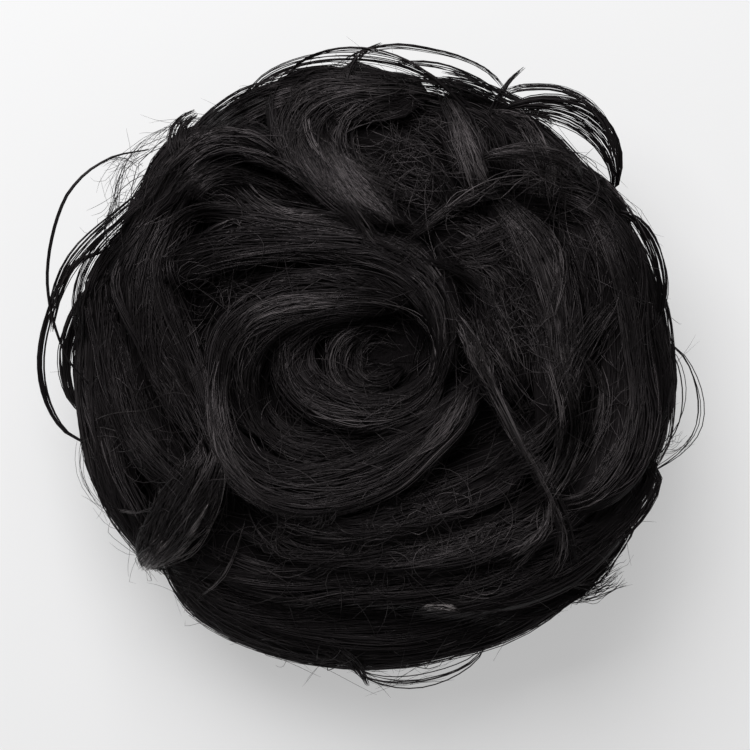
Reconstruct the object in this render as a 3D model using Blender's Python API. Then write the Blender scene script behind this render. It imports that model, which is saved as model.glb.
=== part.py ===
"""Bun hairpiece: tresses of black hair laid in a rosette over a hollow base with an elastic band.

Metres, +Z up. The origin is on the table, under the middle of the bun. +Y is the top of the rosette.
The base is turned from one profile. Each tress is then laid over whatever was laid before it, so that
the order of the tables is the order in which the bun is dressed.
"""

import math
from collections import namedtuple

import bmesh
import bpy
import numpy as np

# Overall sizes of the dressed bun
bun_width = 0.140
bun_height = 0.064
side_hair_depth = 0.0068
crown_hair_depth = 0.0145

# The base: a hollow dome of wound hair
widest_height = 0.022
tuck_radius = 0.040
crown_squareness = 2.35
hollow_width = 0.080
hollow_height = 0.029
hollow_squareness = 2.6
base_segments = 42
dome_steps = 10
tuck_steps = 3
roof_steps = 5

# The elastic band that lines the mouth of the hollow
band_height = 0.006
band_wall = 0.0022
band_lift = 0.0012
band_rounding = 0.0006
band_clearance = 0.0003

# The tresses
tress_width = 0.0112
tress_thickness = 0.0044
tress_gap = 0.0005
edge_thickness = 0.0007
section_spacing = 0.0066
drape_passes = 5
drape_margin = 0.0008
rest_margin = 0.0004
tip_share = 0.24
taper_share = 0.26
grid_cell = 0.0006

# The loops of loose hair that stand off the bun
loop_width = 0.0013
loop_thickness = 0.0010
loop_spacing = 0.0055

hair_black = (0.014, 0.013, 0.013, 1.0)
band_black = (0.022, 0.022, 0.024, 1.0)

half_width = bun_width / 2
base_radius = half_width - side_hair_depth
base_height = bun_height - crown_hair_depth
typical_depth = (side_hair_depth + crown_hair_depth) / 2

# A crown tress: width and thickness as shares of a tress, then the places that it passes, as seen from
# above, as shares of the bun's half width across and up.
CrownTress = namedtuple("CrownTress", "name width thickness route")
# A side tress goes round the bun: from one bearing to another in degrees from +X, at a start, middle
# and end level, which are shares of the bun's height.
SideTress = namedtuple("SideTress", "name width thickness bearing_from bearing_to start middle end")
# A loop springs from one bearing and returns at another, at levels as above. Its lift off the hair
# below is a share of the bun's half width.
LooseLoop = namedtuple("LooseLoop", "name bearing_from bearing_to start end lift")

low_side_tresses = [
    SideTress("low_front_tress", 1.55, 1.00, -152, -28, 0.22, 0.14, 0.22),
    SideTress("low_right_tress", 1.50, 1.00, -40, 74, 0.16, 0.22, 0.14),
    SideTress("low_back_tress", 1.55, 1.00, 66, 178, 0.24, 0.15, 0.20),
    SideTress("low_left_tress", 1.50, 1.00, 170, 222, 0.14, 0.21, 0.15),
]

rim_tresses = [
    SideTress("front_rim_tress", 1.85, 1.10, -148, -22, 0.46, 0.40, 0.54),
    SideTress("left_rim_tress", 1.60, 1.10, 222, 132, 0.42, 0.48, 0.48),
    SideTress("right_rim_tress", 1.60, 1.10, -16, 48, 0.46, 0.48, 0.50),
    SideTress("back_rim_tress", 1.70, 1.70, 156, 84, 0.44, 0.48, 0.46),
    SideTress("back_right_rim_tress", 1.50, 1.00, 82, 28, 0.44, 0.52, 0.50),
]

middle_tresses = [
    CrownTress(
        "top_back_tress", 1.20, 0.90,
        [(-0.33, 0.82), (-0.08, 0.86), (0.14, 0.85), (0.32, 0.78), (0.47, 0.62)],
    ),
    CrownTress(
        "tangle_bed_tress", 1.30, 0.70,
        [(-0.12, 0.72), (0.04, 0.70), (0.18, 0.62), (0.27, 0.48)],
    ),
    CrownTress(
        "right_tail_tress", 1.20, 0.75,
        [(0.34, -0.84), (0.59, -0.73), (0.79, -0.56), (0.92, -0.37)],
    ),
    CrownTress(
        "right_fill_tress", 1.20, 0.70,
        [(0.68, 0.50), (0.73, 0.30), (0.74, 0.07), (0.71, -0.17), (0.62, -0.34)],
    ),
    CrownTress(
        "low_band_tress", 1.15, 0.95,
        [(0.90, -0.33), (0.72, -0.54), (0.43, -0.71), (0.08, -0.77), (-0.25, -0.77),
         (-0.54, -0.69), (-0.72, -0.57)],
    ),
    CrownTress(
        "left_mid_tress", 1.10, 0.95,
        [(-0.67, 0.58), (-0.80, 0.40), (-0.86, 0.17), (-0.84, -0.07), (-0.75, -0.32),
         (-0.58, -0.52)],
    ),
    CrownTress(
        "right_inner_tress", 1.35, 0.80,
        [(0.22, 0.44), (0.36, 0.36), (0.47, 0.24), (0.50, 0.06), (0.44, -0.14)],
    ),
    CrownTress(
        "high_band_tress", 1.05, 0.90,
        [(0.76, -0.33), (0.57, -0.48), (0.30, -0.59), (0.02, -0.63), (-0.25, -0.62), (-0.50, -0.55)],
    ),
    CrownTress(
        "left_inner_tress", 1.05, 0.90,
        [(-0.57, 0.64), (-0.68, 0.47), (-0.74, 0.27), (-0.71, 0.06), (-0.65, -0.12), (-0.56, -0.32)],
    ),
    CrownTress(
        "low_inner_tress", 1.10, 0.80,
        [(0.57, -0.22), (0.44, -0.36), (0.22, -0.46), (-0.02, -0.51), (-0.24, -0.50),
         (-0.46, -0.40)],
    ),
    CrownTress(
        "left_sweep_tress", 1.20, 0.85,
        [(-0.64, 0.62), (-0.52, 0.58), (-0.37, 0.53), (-0.17, 0.51), (0.03, 0.47), (0.18, 0.43)],
    ),
    CrownTress(
        "left_arc_tress", 0.95, 0.80,
        [(-0.79, 0.41), (-0.71, 0.59), (-0.57, 0.70), (-0.42, 0.73), (-0.31, 0.69), (-0.22, 0.60)],
    ),
    CrownTress(
        "right_outer_tress", 1.00, 0.85,
        [(0.68, 0.56), (0.80, 0.36), (0.85, 0.13), (0.85, -0.10), (0.78, -0.31), (0.64, -0.46)],
    ),
    CrownTress(
        "right_upright_tress", 1.15, 0.85,
        [(0.38, 0.60), (0.52, 0.44), (0.60, 0.27), (0.63, 0.08), (0.63, -0.10), (0.57, -0.28)],
    ),
]

rosette_tresses = [
    CrownTress(
        "rosette_fill_tress", 1.25, 0.70,
        [(0.38, -0.06), (0.22, -0.19), (0.04, -0.27), (-0.18, -0.31), (-0.36, -0.24)],
    ),
    CrownTress(
        "rosette_shade_tress", 1.20, 0.65,
        [(-0.60, 0.16), (-0.45, 0.29), (-0.20, 0.33), (0.08, 0.28)],
    ),
    CrownTress(
        "rosette_heart_tress", 0.62, 0.95,
        [(0.03, 0.14), (-0.08, 0.12), (-0.13, 0.03), (-0.10, -0.06), (0.00, -0.09), (0.08, -0.03)],
    ),
    CrownTress(
        "inner_petal_tress", 0.85, 0.90,
        [(-0.06, 0.20), (-0.22, 0.15), (-0.31, 0.05), (-0.28, -0.07), (-0.15, -0.16), (0.03, -0.19),
         (0.18, -0.12), (0.23, 0.01)],
    ),
    CrownTress(
        "crescent_petal_tress", 1.25, 1.10,
        [(0.12, 0.20), (-0.07, 0.23), (-0.27, 0.21), (-0.43, 0.13), (-0.50, 0.00), (-0.48, -0.13),
         (-0.40, -0.24)],
    ),
    CrownTress(
        "lower_petal_tress", 1.00, 1.05,
        [(0.35, -0.04), (0.29, -0.17), (0.10, -0.34), (-0.13, -0.43), (-0.34, -0.42),
         (-0.49, -0.30), (-0.55, -0.13)],
    ),
    CrownTress(
        "upper_petal_tress", 1.05, 1.00,
        [(-0.68, 0.27), (-0.49, 0.38), (-0.25, 0.42), (-0.01, 0.40), (0.16, 0.30), (0.24, 0.13),
         (0.24, -0.03)],
    ),
]

top_tresses = [
    CrownTress(
        "hook_tress", 1.30, 0.95,
        [(0.16, 0.86), (-0.05, 0.89), (-0.20, 0.85), (-0.255, 0.75), (-0.18, 0.64), (-0.06, 0.54),
         (0.09, 0.46)],
    ),
    CrownTress(
        "hanging_tress", 1.00, 0.75,
        [(0.23, 0.87), (0.26, 0.78), (0.31, 0.67), (0.36, 0.54)],
    ),
    CrownTress(
        "hanging_wisp", 0.60, 0.65,
        [(0.40, 0.83), (0.50, 0.76), (0.57, 0.66), (0.60, 0.54)],
    ),
    CrownTress(
        "crossing_wisp", 0.42, 0.42,
        [(0.20, 0.48), (0.34, 0.56), (0.49, 0.60), (0.63, 0.59), (0.74, 0.54)],
    ),
    CrownTress(
        "long_wisp", 0.36, 0.45,
        [(0.22, 0.27), (0.29, 0.11), (0.37, -0.05), (0.45, -0.20), (0.54, -0.35), (0.59, -0.48),
         (0.61, -0.60)],
    ),
    CrownTress(
        "flare_tress", 1.15, 0.65,
        [(-0.57, -0.28), (-0.61, -0.40), (-0.68, -0.53), (-0.76, -0.65)],
    ),
]

loose_loops = [
    LooseLoop("left_loop_inner", 160, 189, 0.42, 0.36, 0.065),
    LooseLoop("left_loop_middle", 157, 195, 0.50, 0.42, 0.155),
    LooseLoop("left_loop_outer", 137, 184, 0.56, 0.48, 0.145),
    LooseLoop("top_loop_low", 121, 66, 0.52, 0.56, 0.060),
    LooseLoop("top_loop_high", 108, 65, 0.54, 0.62, 0.130),
    LooseLoop("top_right_loop_outer", 64, 37, 0.50, 0.46, 0.085),
    LooseLoop("top_right_loop_inner", 63, 42, 0.66, 0.58, 0.045),
    LooseLoop("right_loop", 33, 10, 0.52, 0.46, 0.060),
    LooseLoop("right_stray_loop", 6, -24, 0.42, 0.34, 0.120),
    LooseLoop("front_stray_loop", -95, -68, 0.40, 0.38, 0.060),
]

# Stations across a tress and across a loop, as shares of its half width
tress_stations = np.array([-1.0, -0.62, -0.22, 0.22, 0.62, 1.0])
loop_stations = np.array([-1.0, 0.0, 1.0])


def clear_scene():
    for thing in list(bpy.data.objects):
        bpy.data.objects.remove(thing)


def make_material(name, colour, roughness):
    material = bpy.data.materials.new(name)
    material.use_nodes = True
    shader = material.node_tree.nodes["Principled BSDF"]
    shader.inputs["Base Color"].default_value = colour
    shader.inputs["Roughness"].default_value = roughness
    shader.inputs["Metallic"].default_value = 0.0
    return material


def add_object(name, bm, material, smooth_angle):
    bmesh.ops.recalc_face_normals(bm, faces=bm.faces)
    mesh = bpy.data.meshes.new(name)
    bm.to_mesh(mesh)
    bm.free()
    mesh.materials.append(material)
    mesh.shade_smooth()
    mesh.set_sharp_from_angle(angle=math.radians(smooth_angle))
    thing = bpy.data.objects.new(name, mesh)
    bpy.context.collection.objects.link(thing)
    return thing


def dome_profile(radius, height, start_height, squareness, steps):
    """Points (r, z) from the crown down to the widest line of a squared dome."""
    angles = np.linspace(0.0, math.pi / 2, steps + 1)
    power = 2.0 / squareness
    r = radius * np.sin(angles) ** power
    z = start_height + (height - start_height) * np.clip(np.cos(angles), 0, 1) ** power
    return np.column_stack([r, z])


def tuck_profile(steps):
    """Points (r, z) from the widest line of the base down to the table, where the hair tucks in."""
    last = math.asin(widest_height / tuck_radius)
    angles = np.linspace(0.0, last, steps + 1)
    r = base_radius - tuck_radius * (1 - np.cos(angles))
    z = widest_height - tuck_radius * np.sin(angles)
    return np.column_stack([r, z])


def outer_profile():
    """Points (r, z) from the crown over the dome and its tuck to the table."""
    dome = dome_profile(base_radius, base_height, widest_height, crown_squareness, dome_steps)
    return np.vstack([dome, tuck_profile(tuck_steps)[1:]])


def roof_profile():
    """Points (r, z) over the hollow, from its mouth on the table up to the middle of its roof."""
    return dome_profile(hollow_width / 2, hollow_height, 0.0, hollow_squareness, roof_steps)[::-1]


class BaseSurface:
    """The base's outer surface, charted by bearing and by distance from the crown along the surface."""

    def __init__(self):
        line = outer_profile()
        steps = np.hypot(*np.diff(line, axis=0).T)
        self.along = np.concatenate([[0.0], np.cumsum(steps)])
        self.r, self.z = line.T
        slope_r = np.gradient(self.r, self.along)
        slope_z = np.gradient(self.z, self.along)
        slope_z[0] = 0.0
        length = np.hypot(slope_r, slope_z)
        self.normal_r = -slope_z / length
        self.normal_z = slope_r / length
        self.length = self.along[-1]
        self.seen_along = np.linspace(0, self.along[dome_steps], 200)
        share = (self.seen_along / self.seen_along[-1]) ** 2
        depth = crown_hair_depth + share * (side_hair_depth - crown_hair_depth)
        self.seen_r = np.maximum.accumulate(
            np.interp(self.seen_along, self.along, self.r)
            + depth * np.interp(self.seen_along, self.along, self.normal_r)
        )

    def point(self, chart, height):
        """Places in space of chart places, at a height off the base's surface."""
        along = np.hypot(chart[..., 0], chart[..., 1])
        safe = np.maximum(along, 1e-9)
        r = np.interp(along, self.along, self.r) + height * np.interp(along, self.along, self.normal_r)
        z = np.interp(along, self.along, self.z) + height * np.interp(along, self.along, self.normal_z)
        return np.stack([r * chart[..., 0] / safe, r * chart[..., 1] / safe, z], axis=-1)

    def middle(self, chart):
        """Places in space half way through the hair."""
        return self.point(chart, np.full(len(chart), typical_depth))

    def from_above(self, across, up):
        """The chart place seen at a place in plan."""
        reach = math.hypot(across, up)
        along = np.interp(reach, self.seen_r, self.seen_along)
        return np.array([across, up]) * along / max(reach, 1e-9)

    def from_side(self, bearing, level):
        """The chart place at a bearing, whose height on the base is a share of the bun's height."""
        along = np.interp(-level * bun_height, -self.z, self.along)
        return np.array([math.cos(bearing), math.sin(bearing)]) * along


def smooth_route(surface, points, spacing):
    """A Catmull-Rom curve through places of the chart, resampled to even spacing in space."""
    points = np.asarray(points)
    ends = np.vstack([2 * points[0] - points[1], points, 2 * points[-1] - points[-2]])
    fine = []
    for a, b, c, d in zip(ends[:-3], ends[1:-2], ends[2:-1], ends[3:]):
        t = np.linspace(0, 1, 24, endpoint=False)[:, None]
        bend = (2 * a - 5 * b + 4 * c - d) * t**2 + (3 * b - a - 3 * c + d) * t**3
        fine.append(b + 0.5 * ((c - a) * t + bend))
    fine = np.vstack([*fine, points[-1:]])
    steps = np.linalg.norm(np.diff(surface.middle(fine), axis=0), axis=1)
    along = np.concatenate([[0.0], np.cumsum(steps)])
    count = max(4, round(along[-1] / spacing))
    even = np.linspace(0, along[-1], count + 1)
    return np.column_stack([np.interp(even, along, fine[:, k]) for k in range(2)])


class HairBed:
    """How high the hair already laid stands off the base, cell by cell of the chart."""

    def __init__(self, surface):
        self.half = surface.length + 12 * grid_cell
        side = int(2 * self.half / grid_cell) + 1
        self.height = np.zeros((side, side))

    def cells(self, chart):
        index = ((chart + self.half) / grid_cell).astype(int)
        index = np.clip(index, 1, self.height.shape[0] - 2)
        return index[..., 0], index[..., 1]

    def highest_near(self, chart):
        i, j = self.cells(chart)
        found = self.height[i, j]
        for di in (-1, 0, 1):
            for dj in (-1, 0, 1):
                found = np.maximum(found, self.height[i + di, j + dj])
        return found

    def sample(self, chart, height, margin):
        """The cells under a strip and its height at each, to a margin outside both its edges."""
        rows = np.linspace(0, len(chart) - 1, (len(chart) - 1) * 16 + 1)
        columns = np.linspace(-margin, chart.shape[1] - 1 + margin, (chart.shape[1] - 1) * 8 + 1)
        i, j = self.cells(grid_between(chart, rows, columns))
        return i.ravel(), j.ravel(), grid_between(height[..., None], rows, columns).ravel()

    def clearance(self, chart, under, margin):
        """The least height of a strip's underside over the hair below it."""
        i, j, height = self.sample(chart, under, margin)
        return (height - self.height[i, j]).min()

    def lay(self, chart, top):
        """Adds a tress to the bed."""
        i, j, height = self.sample(chart, top, 0.0)
        np.maximum.at(self.height, (i, j), height)


def grid_between(grid, rows, columns):
    """Bilinear values of a grid at fractional rows and columns, the end columns being extended."""
    i = np.clip(rows.astype(int), 0, grid.shape[0] - 2)
    j = np.clip(np.floor(columns).astype(int), 0, grid.shape[1] - 2)
    u = (rows - i)[:, None, None]
    v = (columns - j)[None, :, None]
    a, b = grid[i][:, j], grid[i][:, j + 1]
    c, d = grid[i + 1][:, j], grid[i + 1][:, j + 1]
    return (1 - u) * ((1 - v) * a + v * b) + u * ((1 - v) * c + v * d)


def drape(bed, chart, half_widths, stations):
    """The height at which a strip of hair lies over what is there, taut across narrow hollows."""
    count, across = chart.shape[:2]
    column_width = half_widths.mean() * (stations[1] - stations[0])
    margin = drape_margin / column_width
    raw = np.zeros((count, across))
    for step_along in (-1.0, -0.5, 0.0, 0.5, 1.0):
        rows = np.clip(np.arange(count) + step_along, 0, count - 1)
        for step_across in (-1.0, -0.5, 0.0, 0.5, 1.0):
            columns = np.clip(np.arange(across) + step_across, -margin, across - 1 + margin)
            raw = np.maximum(raw, bed.highest_near(grid_between(chart, rows, columns)))
    height = raw.copy()
    for _ in range(drape_passes):
        padded = np.pad(height, 1, mode="edge")
        mean = (padded[:-2, 1:-1] + padded[2:, 1:-1] + padded[1:-1, :-2] + padded[1:-1, 2:]) / 4
        height = np.maximum(raw, mean)
    return height, rest_margin / column_width


def strip_places(surface, centre, half_widths, stations):
    """Chart places of each station of each section, square to the tress's run over the surface."""
    space = surface.middle(centre)
    run = np.gradient(space, axis=0)
    run /= np.linalg.norm(run, axis=1)[:, None]
    along = np.hypot(*centre.T)
    out = centre / np.maximum(along, 1e-9)[:, None]
    round_it = np.column_stack([-out[:, 1], out[:, 0]])
    normal_r = np.interp(along, surface.along, surface.normal_r)
    normal_z = np.interp(along, surface.along, surface.normal_z)
    normal = np.column_stack([out * normal_r[:, None], normal_z])
    down = np.column_stack([out * normal_z[:, None], -normal_r])
    side = np.cross(normal, run)
    radius = np.hypot(space[:, 0], space[:, 1])
    stretch = np.where(along > 1e-6, along / np.maximum(radius, 1e-9), 1.0)
    turn = np.sum(side[:, :2] * round_it, axis=1) * stretch
    sink = np.sum(side * down, axis=1)
    move = out * sink[:, None] + round_it * turn[:, None]
    return centre[:, None] + move[:, None] * (half_widths[:, None] * stations[None, :])[..., None]


def taper_along(count):
    """Shares of the full section along a tress, which narrows towards both tips."""
    t = np.linspace(0, 1, count)
    nearest = np.minimum(t, 1 - t) / taper_share
    eased = np.sin(np.clip(nearest, 0, 1) * math.pi / 2)
    return tip_share + (1 - tip_share) * eased


def section_order(stations):
    """How the places of one section join: along the top from edge to edge, then back under it."""
    last = len(stations) - 1
    inner = range(1, last)
    over = [(j, "top") for j in inner]
    back = [(j, "under") for j in reversed(inner)]
    return [(0, "edge"), *over, (last, "edge"), *back]


def add_strip(row, points, spacing, width, thickness, stations, lift, surface, bed, material):
    """One solid tress or loop, laid on the bed of hair. The top of a tress then belongs to the bed."""
    centre = smooth_route(surface, points, spacing)
    count = len(centre)
    taper = taper_along(count)
    half_widths = width / 2 * taper
    chart = strip_places(surface, centre, half_widths, stations)
    under, margin = drape(bed, chart, half_widths, stations)
    under += (lift * np.sin(np.linspace(0, math.pi, count)) ** 0.8)[:, None]
    under -= bed.clearance(chart, under, margin) - tress_gap
    crown = np.sqrt(np.clip(1 - stations**2, 0, 1))
    top = under + edge_thickness + (thickness - edge_thickness) * taper[:, None] * crown
    if not lift:
        bed.lay(chart, top)
    levels = {"top": top, "under": under, "edge": under + edge_thickness / 2}
    section = section_order(stations)
    bm = bmesh.new()
    rings = []
    for i in range(count):
        chart_ring = np.array([chart[i, j] for j, _ in section])
        height_ring = np.array([levels[kind][i, j] for j, kind in section])
        rings.append([bm.verts.new(p) for p in surface.point(chart_ring, height_ring)])
    for near, far in zip(rings, rings[1:]):
        for k in range(len(section)):
            following = (k + 1) % len(section)
            bm.faces.new((near[k], near[following], far[following], far[k]))
    bm.faces.new(rings[0])
    bm.faces.new(rings[-1])
    return add_object(row.name, bm, material, 50)


def add_tress(row, points, surface, bed, material):
    width, thickness = row.width * tress_width, row.thickness * tress_thickness
    shape = (section_spacing, width, thickness, tress_stations, 0.0)
    return add_strip(row, points, *shape, surface, bed, material)


def add_side_tress(row, surface, bed, material):
    shares = np.linspace(0, 1, 13)
    bearings = np.radians(row.bearing_from + shares * (row.bearing_to - row.bearing_from))
    levels = np.polyval(np.polyfit([0.0, 0.5, 1.0], [row.start, row.middle, row.end], 2), shares)
    points = [surface.from_side(bearing, level) for bearing, level in zip(bearings, levels)]
    return add_tress(row, points, surface, bed, material)


def add_crown_tress(row, surface, bed, material):
    points = [surface.from_above(across * half_width, up * half_width) for across, up in row.route]
    return add_tress(row, points, surface, bed, material)


def add_loop(row, surface, bed, material):
    bearings = np.radians(np.linspace(row.bearing_from, row.bearing_to, 7))
    levels = np.linspace(row.start, row.end, 7)
    points = [surface.from_side(bearing, level) for bearing, level in zip(bearings, levels)]
    lift = row.lift * half_width
    shape = (loop_spacing, loop_width, loop_thickness, loop_stations, lift)
    return add_strip(row, points, *shape, surface, bed, material)


def spin_profile(name, profile, segments, material, smooth_angle):
    """A turned solid from a closed profile of (r, z) points. Points on the axis become one."""
    bm = bmesh.new()
    rings = []
    for r, z in profile:
        if r < 1e-6:
            rings.append([bm.verts.new((0, 0, z))] * segments)
            continue
        angles = [2 * math.pi * k / segments for k in range(segments)]
        rings.append([bm.verts.new((r * math.cos(a), r * math.sin(a), z)) for a in angles])
    for near, far in zip(rings, rings[1:] + rings[:1]):
        if near[0] is near[1] and far[0] is far[1]:
            continue
        for k in range(segments):
            following = (k + 1) % segments
            corners = [near[k], near[following], far[following], far[k]]
            bm.faces.new(dict.fromkeys(corners))
    return add_object(name, bm, material, smooth_angle)


def add_base(material):
    """The hollow dome: out over the crown, down to the table, across the rim and back over the roof."""
    profile = np.vstack([outer_profile(), roof_profile()])
    return spin_profile("wound_base", profile, base_segments, material, 40)


def add_band(material):
    """The elastic band, a flat ring with rounded edges that fits the mouth of the hollow."""
    low, high = band_lift, band_lift + band_height
    roof = roof_profile()
    outer = np.interp(high, roof[:, 1], roof[:, 0]) - band_clearance
    inner = outer - band_wall
    corners = [(outer, low), (outer, high), (inner, high), (inner, low)]
    centre_r, centre_z = (outer + inner) / 2, (low + high) / 2
    profile = []
    for r, z in corners:
        inward_r = math.copysign(band_rounding, centre_r - r)
        inward_z = math.copysign(band_rounding, centre_z - z)
        along_r, along_z = (r + inward_r, z), (r, z + inward_z)
        first_along_r = (r > centre_r) == (z > centre_z)
        profile += [along_z, along_r] if first_along_r else [along_r, along_z]
    return spin_profile("elastic_band", profile, base_segments, material, 40)


def build():
    clear_scene()
    hair = make_material("black_hair", hair_black, 0.42)
    elastic = make_material("black_elastic", band_black, 0.80)
    add_base(hair)
    add_band(elastic)
    surface = BaseSurface()
    bed = HairBed(surface)
    for row in low_side_tresses + rim_tresses:
        add_side_tress(row, surface, bed, hair)
    for row in middle_tresses + rosette_tresses + top_tresses:
        add_crown_tress(row, surface, bed, hair)
    for row in loose_loops:
        add_loop(row, surface, bed, hair)


build()
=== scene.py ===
import heapq
import math

import bpy
import numpy as np
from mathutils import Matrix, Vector, geometry
from mathutils.bvhtree import BVHTree


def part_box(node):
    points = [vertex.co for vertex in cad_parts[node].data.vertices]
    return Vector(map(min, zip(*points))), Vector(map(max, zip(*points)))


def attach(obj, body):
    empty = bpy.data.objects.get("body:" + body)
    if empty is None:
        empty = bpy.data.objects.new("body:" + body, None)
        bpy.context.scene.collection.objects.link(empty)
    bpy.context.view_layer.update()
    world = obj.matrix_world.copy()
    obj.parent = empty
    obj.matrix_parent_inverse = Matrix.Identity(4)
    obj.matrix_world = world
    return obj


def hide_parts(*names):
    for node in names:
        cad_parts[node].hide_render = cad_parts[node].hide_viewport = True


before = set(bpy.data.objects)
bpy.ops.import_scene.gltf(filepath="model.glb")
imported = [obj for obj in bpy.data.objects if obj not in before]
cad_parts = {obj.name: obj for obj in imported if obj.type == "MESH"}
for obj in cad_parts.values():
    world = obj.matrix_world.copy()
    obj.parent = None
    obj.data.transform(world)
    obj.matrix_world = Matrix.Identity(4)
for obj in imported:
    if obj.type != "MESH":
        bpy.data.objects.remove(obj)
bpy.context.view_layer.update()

mm = 0.001
bodyName = "root"


# Shader maths reads as plain expressions: a Wire is one socket, and sums and products add Math nodes
class Wire:
    def __init__(self, finish, socket):
        self.finish, self.socket = finish, socket

    def maths(self, operation, first, second):
        return self.finish.node("ShaderNodeMath", {"operation": operation}, {0: first, 1: second})

    def __add__(self, other):
        return self.maths("ADD", self, other)

    def __mul__(self, other):
        return self.maths("MULTIPLY", self, other)

    def __sub__(self, other):
        return self.maths("SUBTRACT", self, other)

    def __rsub__(self, other):
        return self.maths("SUBTRACT", other, self)

    __radd__ = __add__
    __rmul__ = __mul__


# One material, and the one way in which its nodes are made
class Finish:
    def __init__(self, name):
        self.material = bpy.data.materials.new(name)
        self.material.use_nodes = True
        self.tree = self.material.node_tree
        self.tree.nodes.clear()

    def node(self, kind, settings=None, sockets=None, out=0):
        made = self.tree.nodes.new(kind)
        for name, value in (settings or {}).items():
            setattr(made, name, value)
        for name, value in (sockets or {}).items():
            if isinstance(value, Wire):
                self.tree.links.new(value.socket, made.inputs[name])
            else:
                made.inputs[name].default_value = value
        return Wire(self, made.outputs[out]) if len(made.outputs) else None

    def blendColours(self, share, first, second):
        settings = {"data_type": "RGBA", "clamp_factor": True}
        return self.node("ShaderNodeMix", settings, {0: share, 6: first, 7: second}, 2)

    def attribute(self, name, out):
        return self.node("ShaderNodeAttribute", {"attribute_name": name}, None, out)

    def noise(self, place, stretch, detail=2.0):
        spread = self.node("ShaderNodeVectorMath", {"operation": "MULTIPLY"}, {0: place, 1: stretch})
        sockets = {"Vector": spread, "Scale": 1.0, "Detail": detail, "Roughness": 0.55}
        return self.node("ShaderNodeTexNoise", None, sockets)

    def bump(self, height, look):
        sockets = {"Strength": look["bumpStrength"], "Distance": look["bumpHeight"], "Height": height}
        return self.node("ShaderNodeBump", None, sockets)

    def surface(self, sockets):
        shader = self.node("ShaderNodeBsdfPrincipled", None, sockets)
        self.node("ShaderNodeOutputMaterial", None, {"Surface": shader})
        return self.material


print("finishes")
hairFinish = {
    "deep": (0.0012, 0.0009, 0.0011, 1.0),
    "pale": (0.098, 0.088, 0.090, 1.0),
    "gloss": (1.0, 0.89, 0.93, 1.0),
    "roughness": 0.20,
    "dull": 0.55,
    "shine": 4.0,
    "roughnessSpread": 0.16,
    "specular": 0.36,
    "ior": 1.5,
    "patchStretch": (180.0, 120.0, 1.0),  # slow changes along a strand
    "patchGain": 6.4,
    "patchLeast": 0.25,
}
# pale grey hair where the hair catches the light, at the flare's tip and in a small bright fleck: a painted
# highlight
paintedHighlightFinish = {**hairFinish, "pale": (0.34, 0.31, 0.31, 1.0)}


def gleam(look):
    return {"Specular IOR Level": look["specular"], "Specular Tint": look["gloss"], "IOR": look["ior"]}


def makeStrandFinish(name, look):
    finish = Finish(name)
    tone = finish.attribute("tone", "Fac")
    patches = finish.noise(finish.attribute("run", "Vector"), look["patchStretch"])
    share = tone * (patches * patches * patches * look["patchGain"] + look["patchLeast"])
    # pale hairs shine more
    gloss = tone.maths("MAXIMUM", look["roughness"], look["dull"] - tone * look["shine"])
    return finish.surface({
        "Base Color": finish.blendColours(share, look["deep"], look["pale"]),
        "Roughness": gloss + patches * look["roughnessSpread"],
        **gleam(look),
    })


coreFinish = {
    **hairFinish,
    "specular": 0.108,
    "fibreStretch": (3400.0, 70.0, 1.0),  # a fibre is about 0.3 mm across and 14 mm long
    "fibreDetail": 3.0,
    "fibreTone": 0.03,
    "lockStretch": (620.0, 30.0, 1.0),
    "bumpStrength": 0.9,
    "bumpHeight": 0.4 * mm,
}


def makeCoreFinish(look):
    finish = Finish("blackHairCore")
    run = finish.attribute("run", "Vector")
    fibres = finish.noise(run, look["fibreStretch"], look["fibreDetail"])
    locks = finish.noise(run, look["lockStretch"])
    return finish.surface({
        "Base Color": finish.blendColours(fibres * look["fibreTone"], look["deep"], look["pale"]),
        "Roughness": fibres * look["roughnessSpread"] + look["dull"],
        **gleam(look),
        "Normal": finish.bump(fibres + locks, look),
    })


elasticFinish = {
    "deep": (0.010, 0.010, 0.011, 1.0),
    "pale": (0.034, 0.034, 0.036, 1.0),
    "roughness": 0.68,
    "roughnessSpread": 0.2,
    "specular": 0.3,
    "ior": 1.5,
    "weaveStretch": (2600.0, 1900.0, 1.0),
    "bumpStrength": 0.6,
    "bumpHeight": 0.2 * mm,
}


def makeElasticFinish(look):
    finish = Finish("blackElastic")
    weave = finish.noise(finish.attribute("run", "Vector"), look["weaveStretch"])
    return finish.surface({
        "Base Color": finish.blendColours(weave, look["deep"], look["pale"]),
        "Roughness": weave * look["roughnessSpread"] + look["roughness"],
        "Specular IOR Level": look["specular"],
        "IOR": look["ior"],
        "Normal": finish.bump(weave, look),
    })


strandMaterial = makeStrandFinish("blackHairStrands", hairFinish)
paintedHighlightMaterial = makeStrandFinish("paintedHighlightHairs", paintedHighlightFinish)
coreMaterial = makeCoreFinish(coreFinish)
elasticMaterial = makeElasticFinish(elasticFinish)


def unit(vectors):
    return vectors / np.maximum(np.linalg.norm(vectors, axis=-1, keepdims=True), 1e-12)


print("floor, lights and camera")
studio = {
    "floorSize": 6.0,
    "floor": (0.51, 0.51, 0.515, 1.0),
    "floorSpeck": (0.48, 0.48, 0.485, 1.0),
    "speckShare": 0.2,
    "speckStretch": (40.0, 40.0, 1.0),
    "floorRoughness": 0.7,
    "floorSpecular": 0.1,
    "floorGlow": 0.42,
    "white": (1.0, 1.0, 1.0, 1.0),
    "worldStrength": 0.175,
    "keyPower": 8.5,
    "keyPlace": (-0.20, 0.50, 0.70),
    "keySize": 0.72,
    "cameraDistance": 0.95,
    "elevation": 86.0,
    "frameWidth": 0.1772,
    "target": (0.0, -0.0012, 0.024),
    "sensor": 36.0,
    "picture": 750,  # the picture is this many steps across
}


def aimAt(thing, place):
    thing.rotation_euler = (Vector(place) - thing.location).to_track_quat("-Z", "Y").to_euler()


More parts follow.
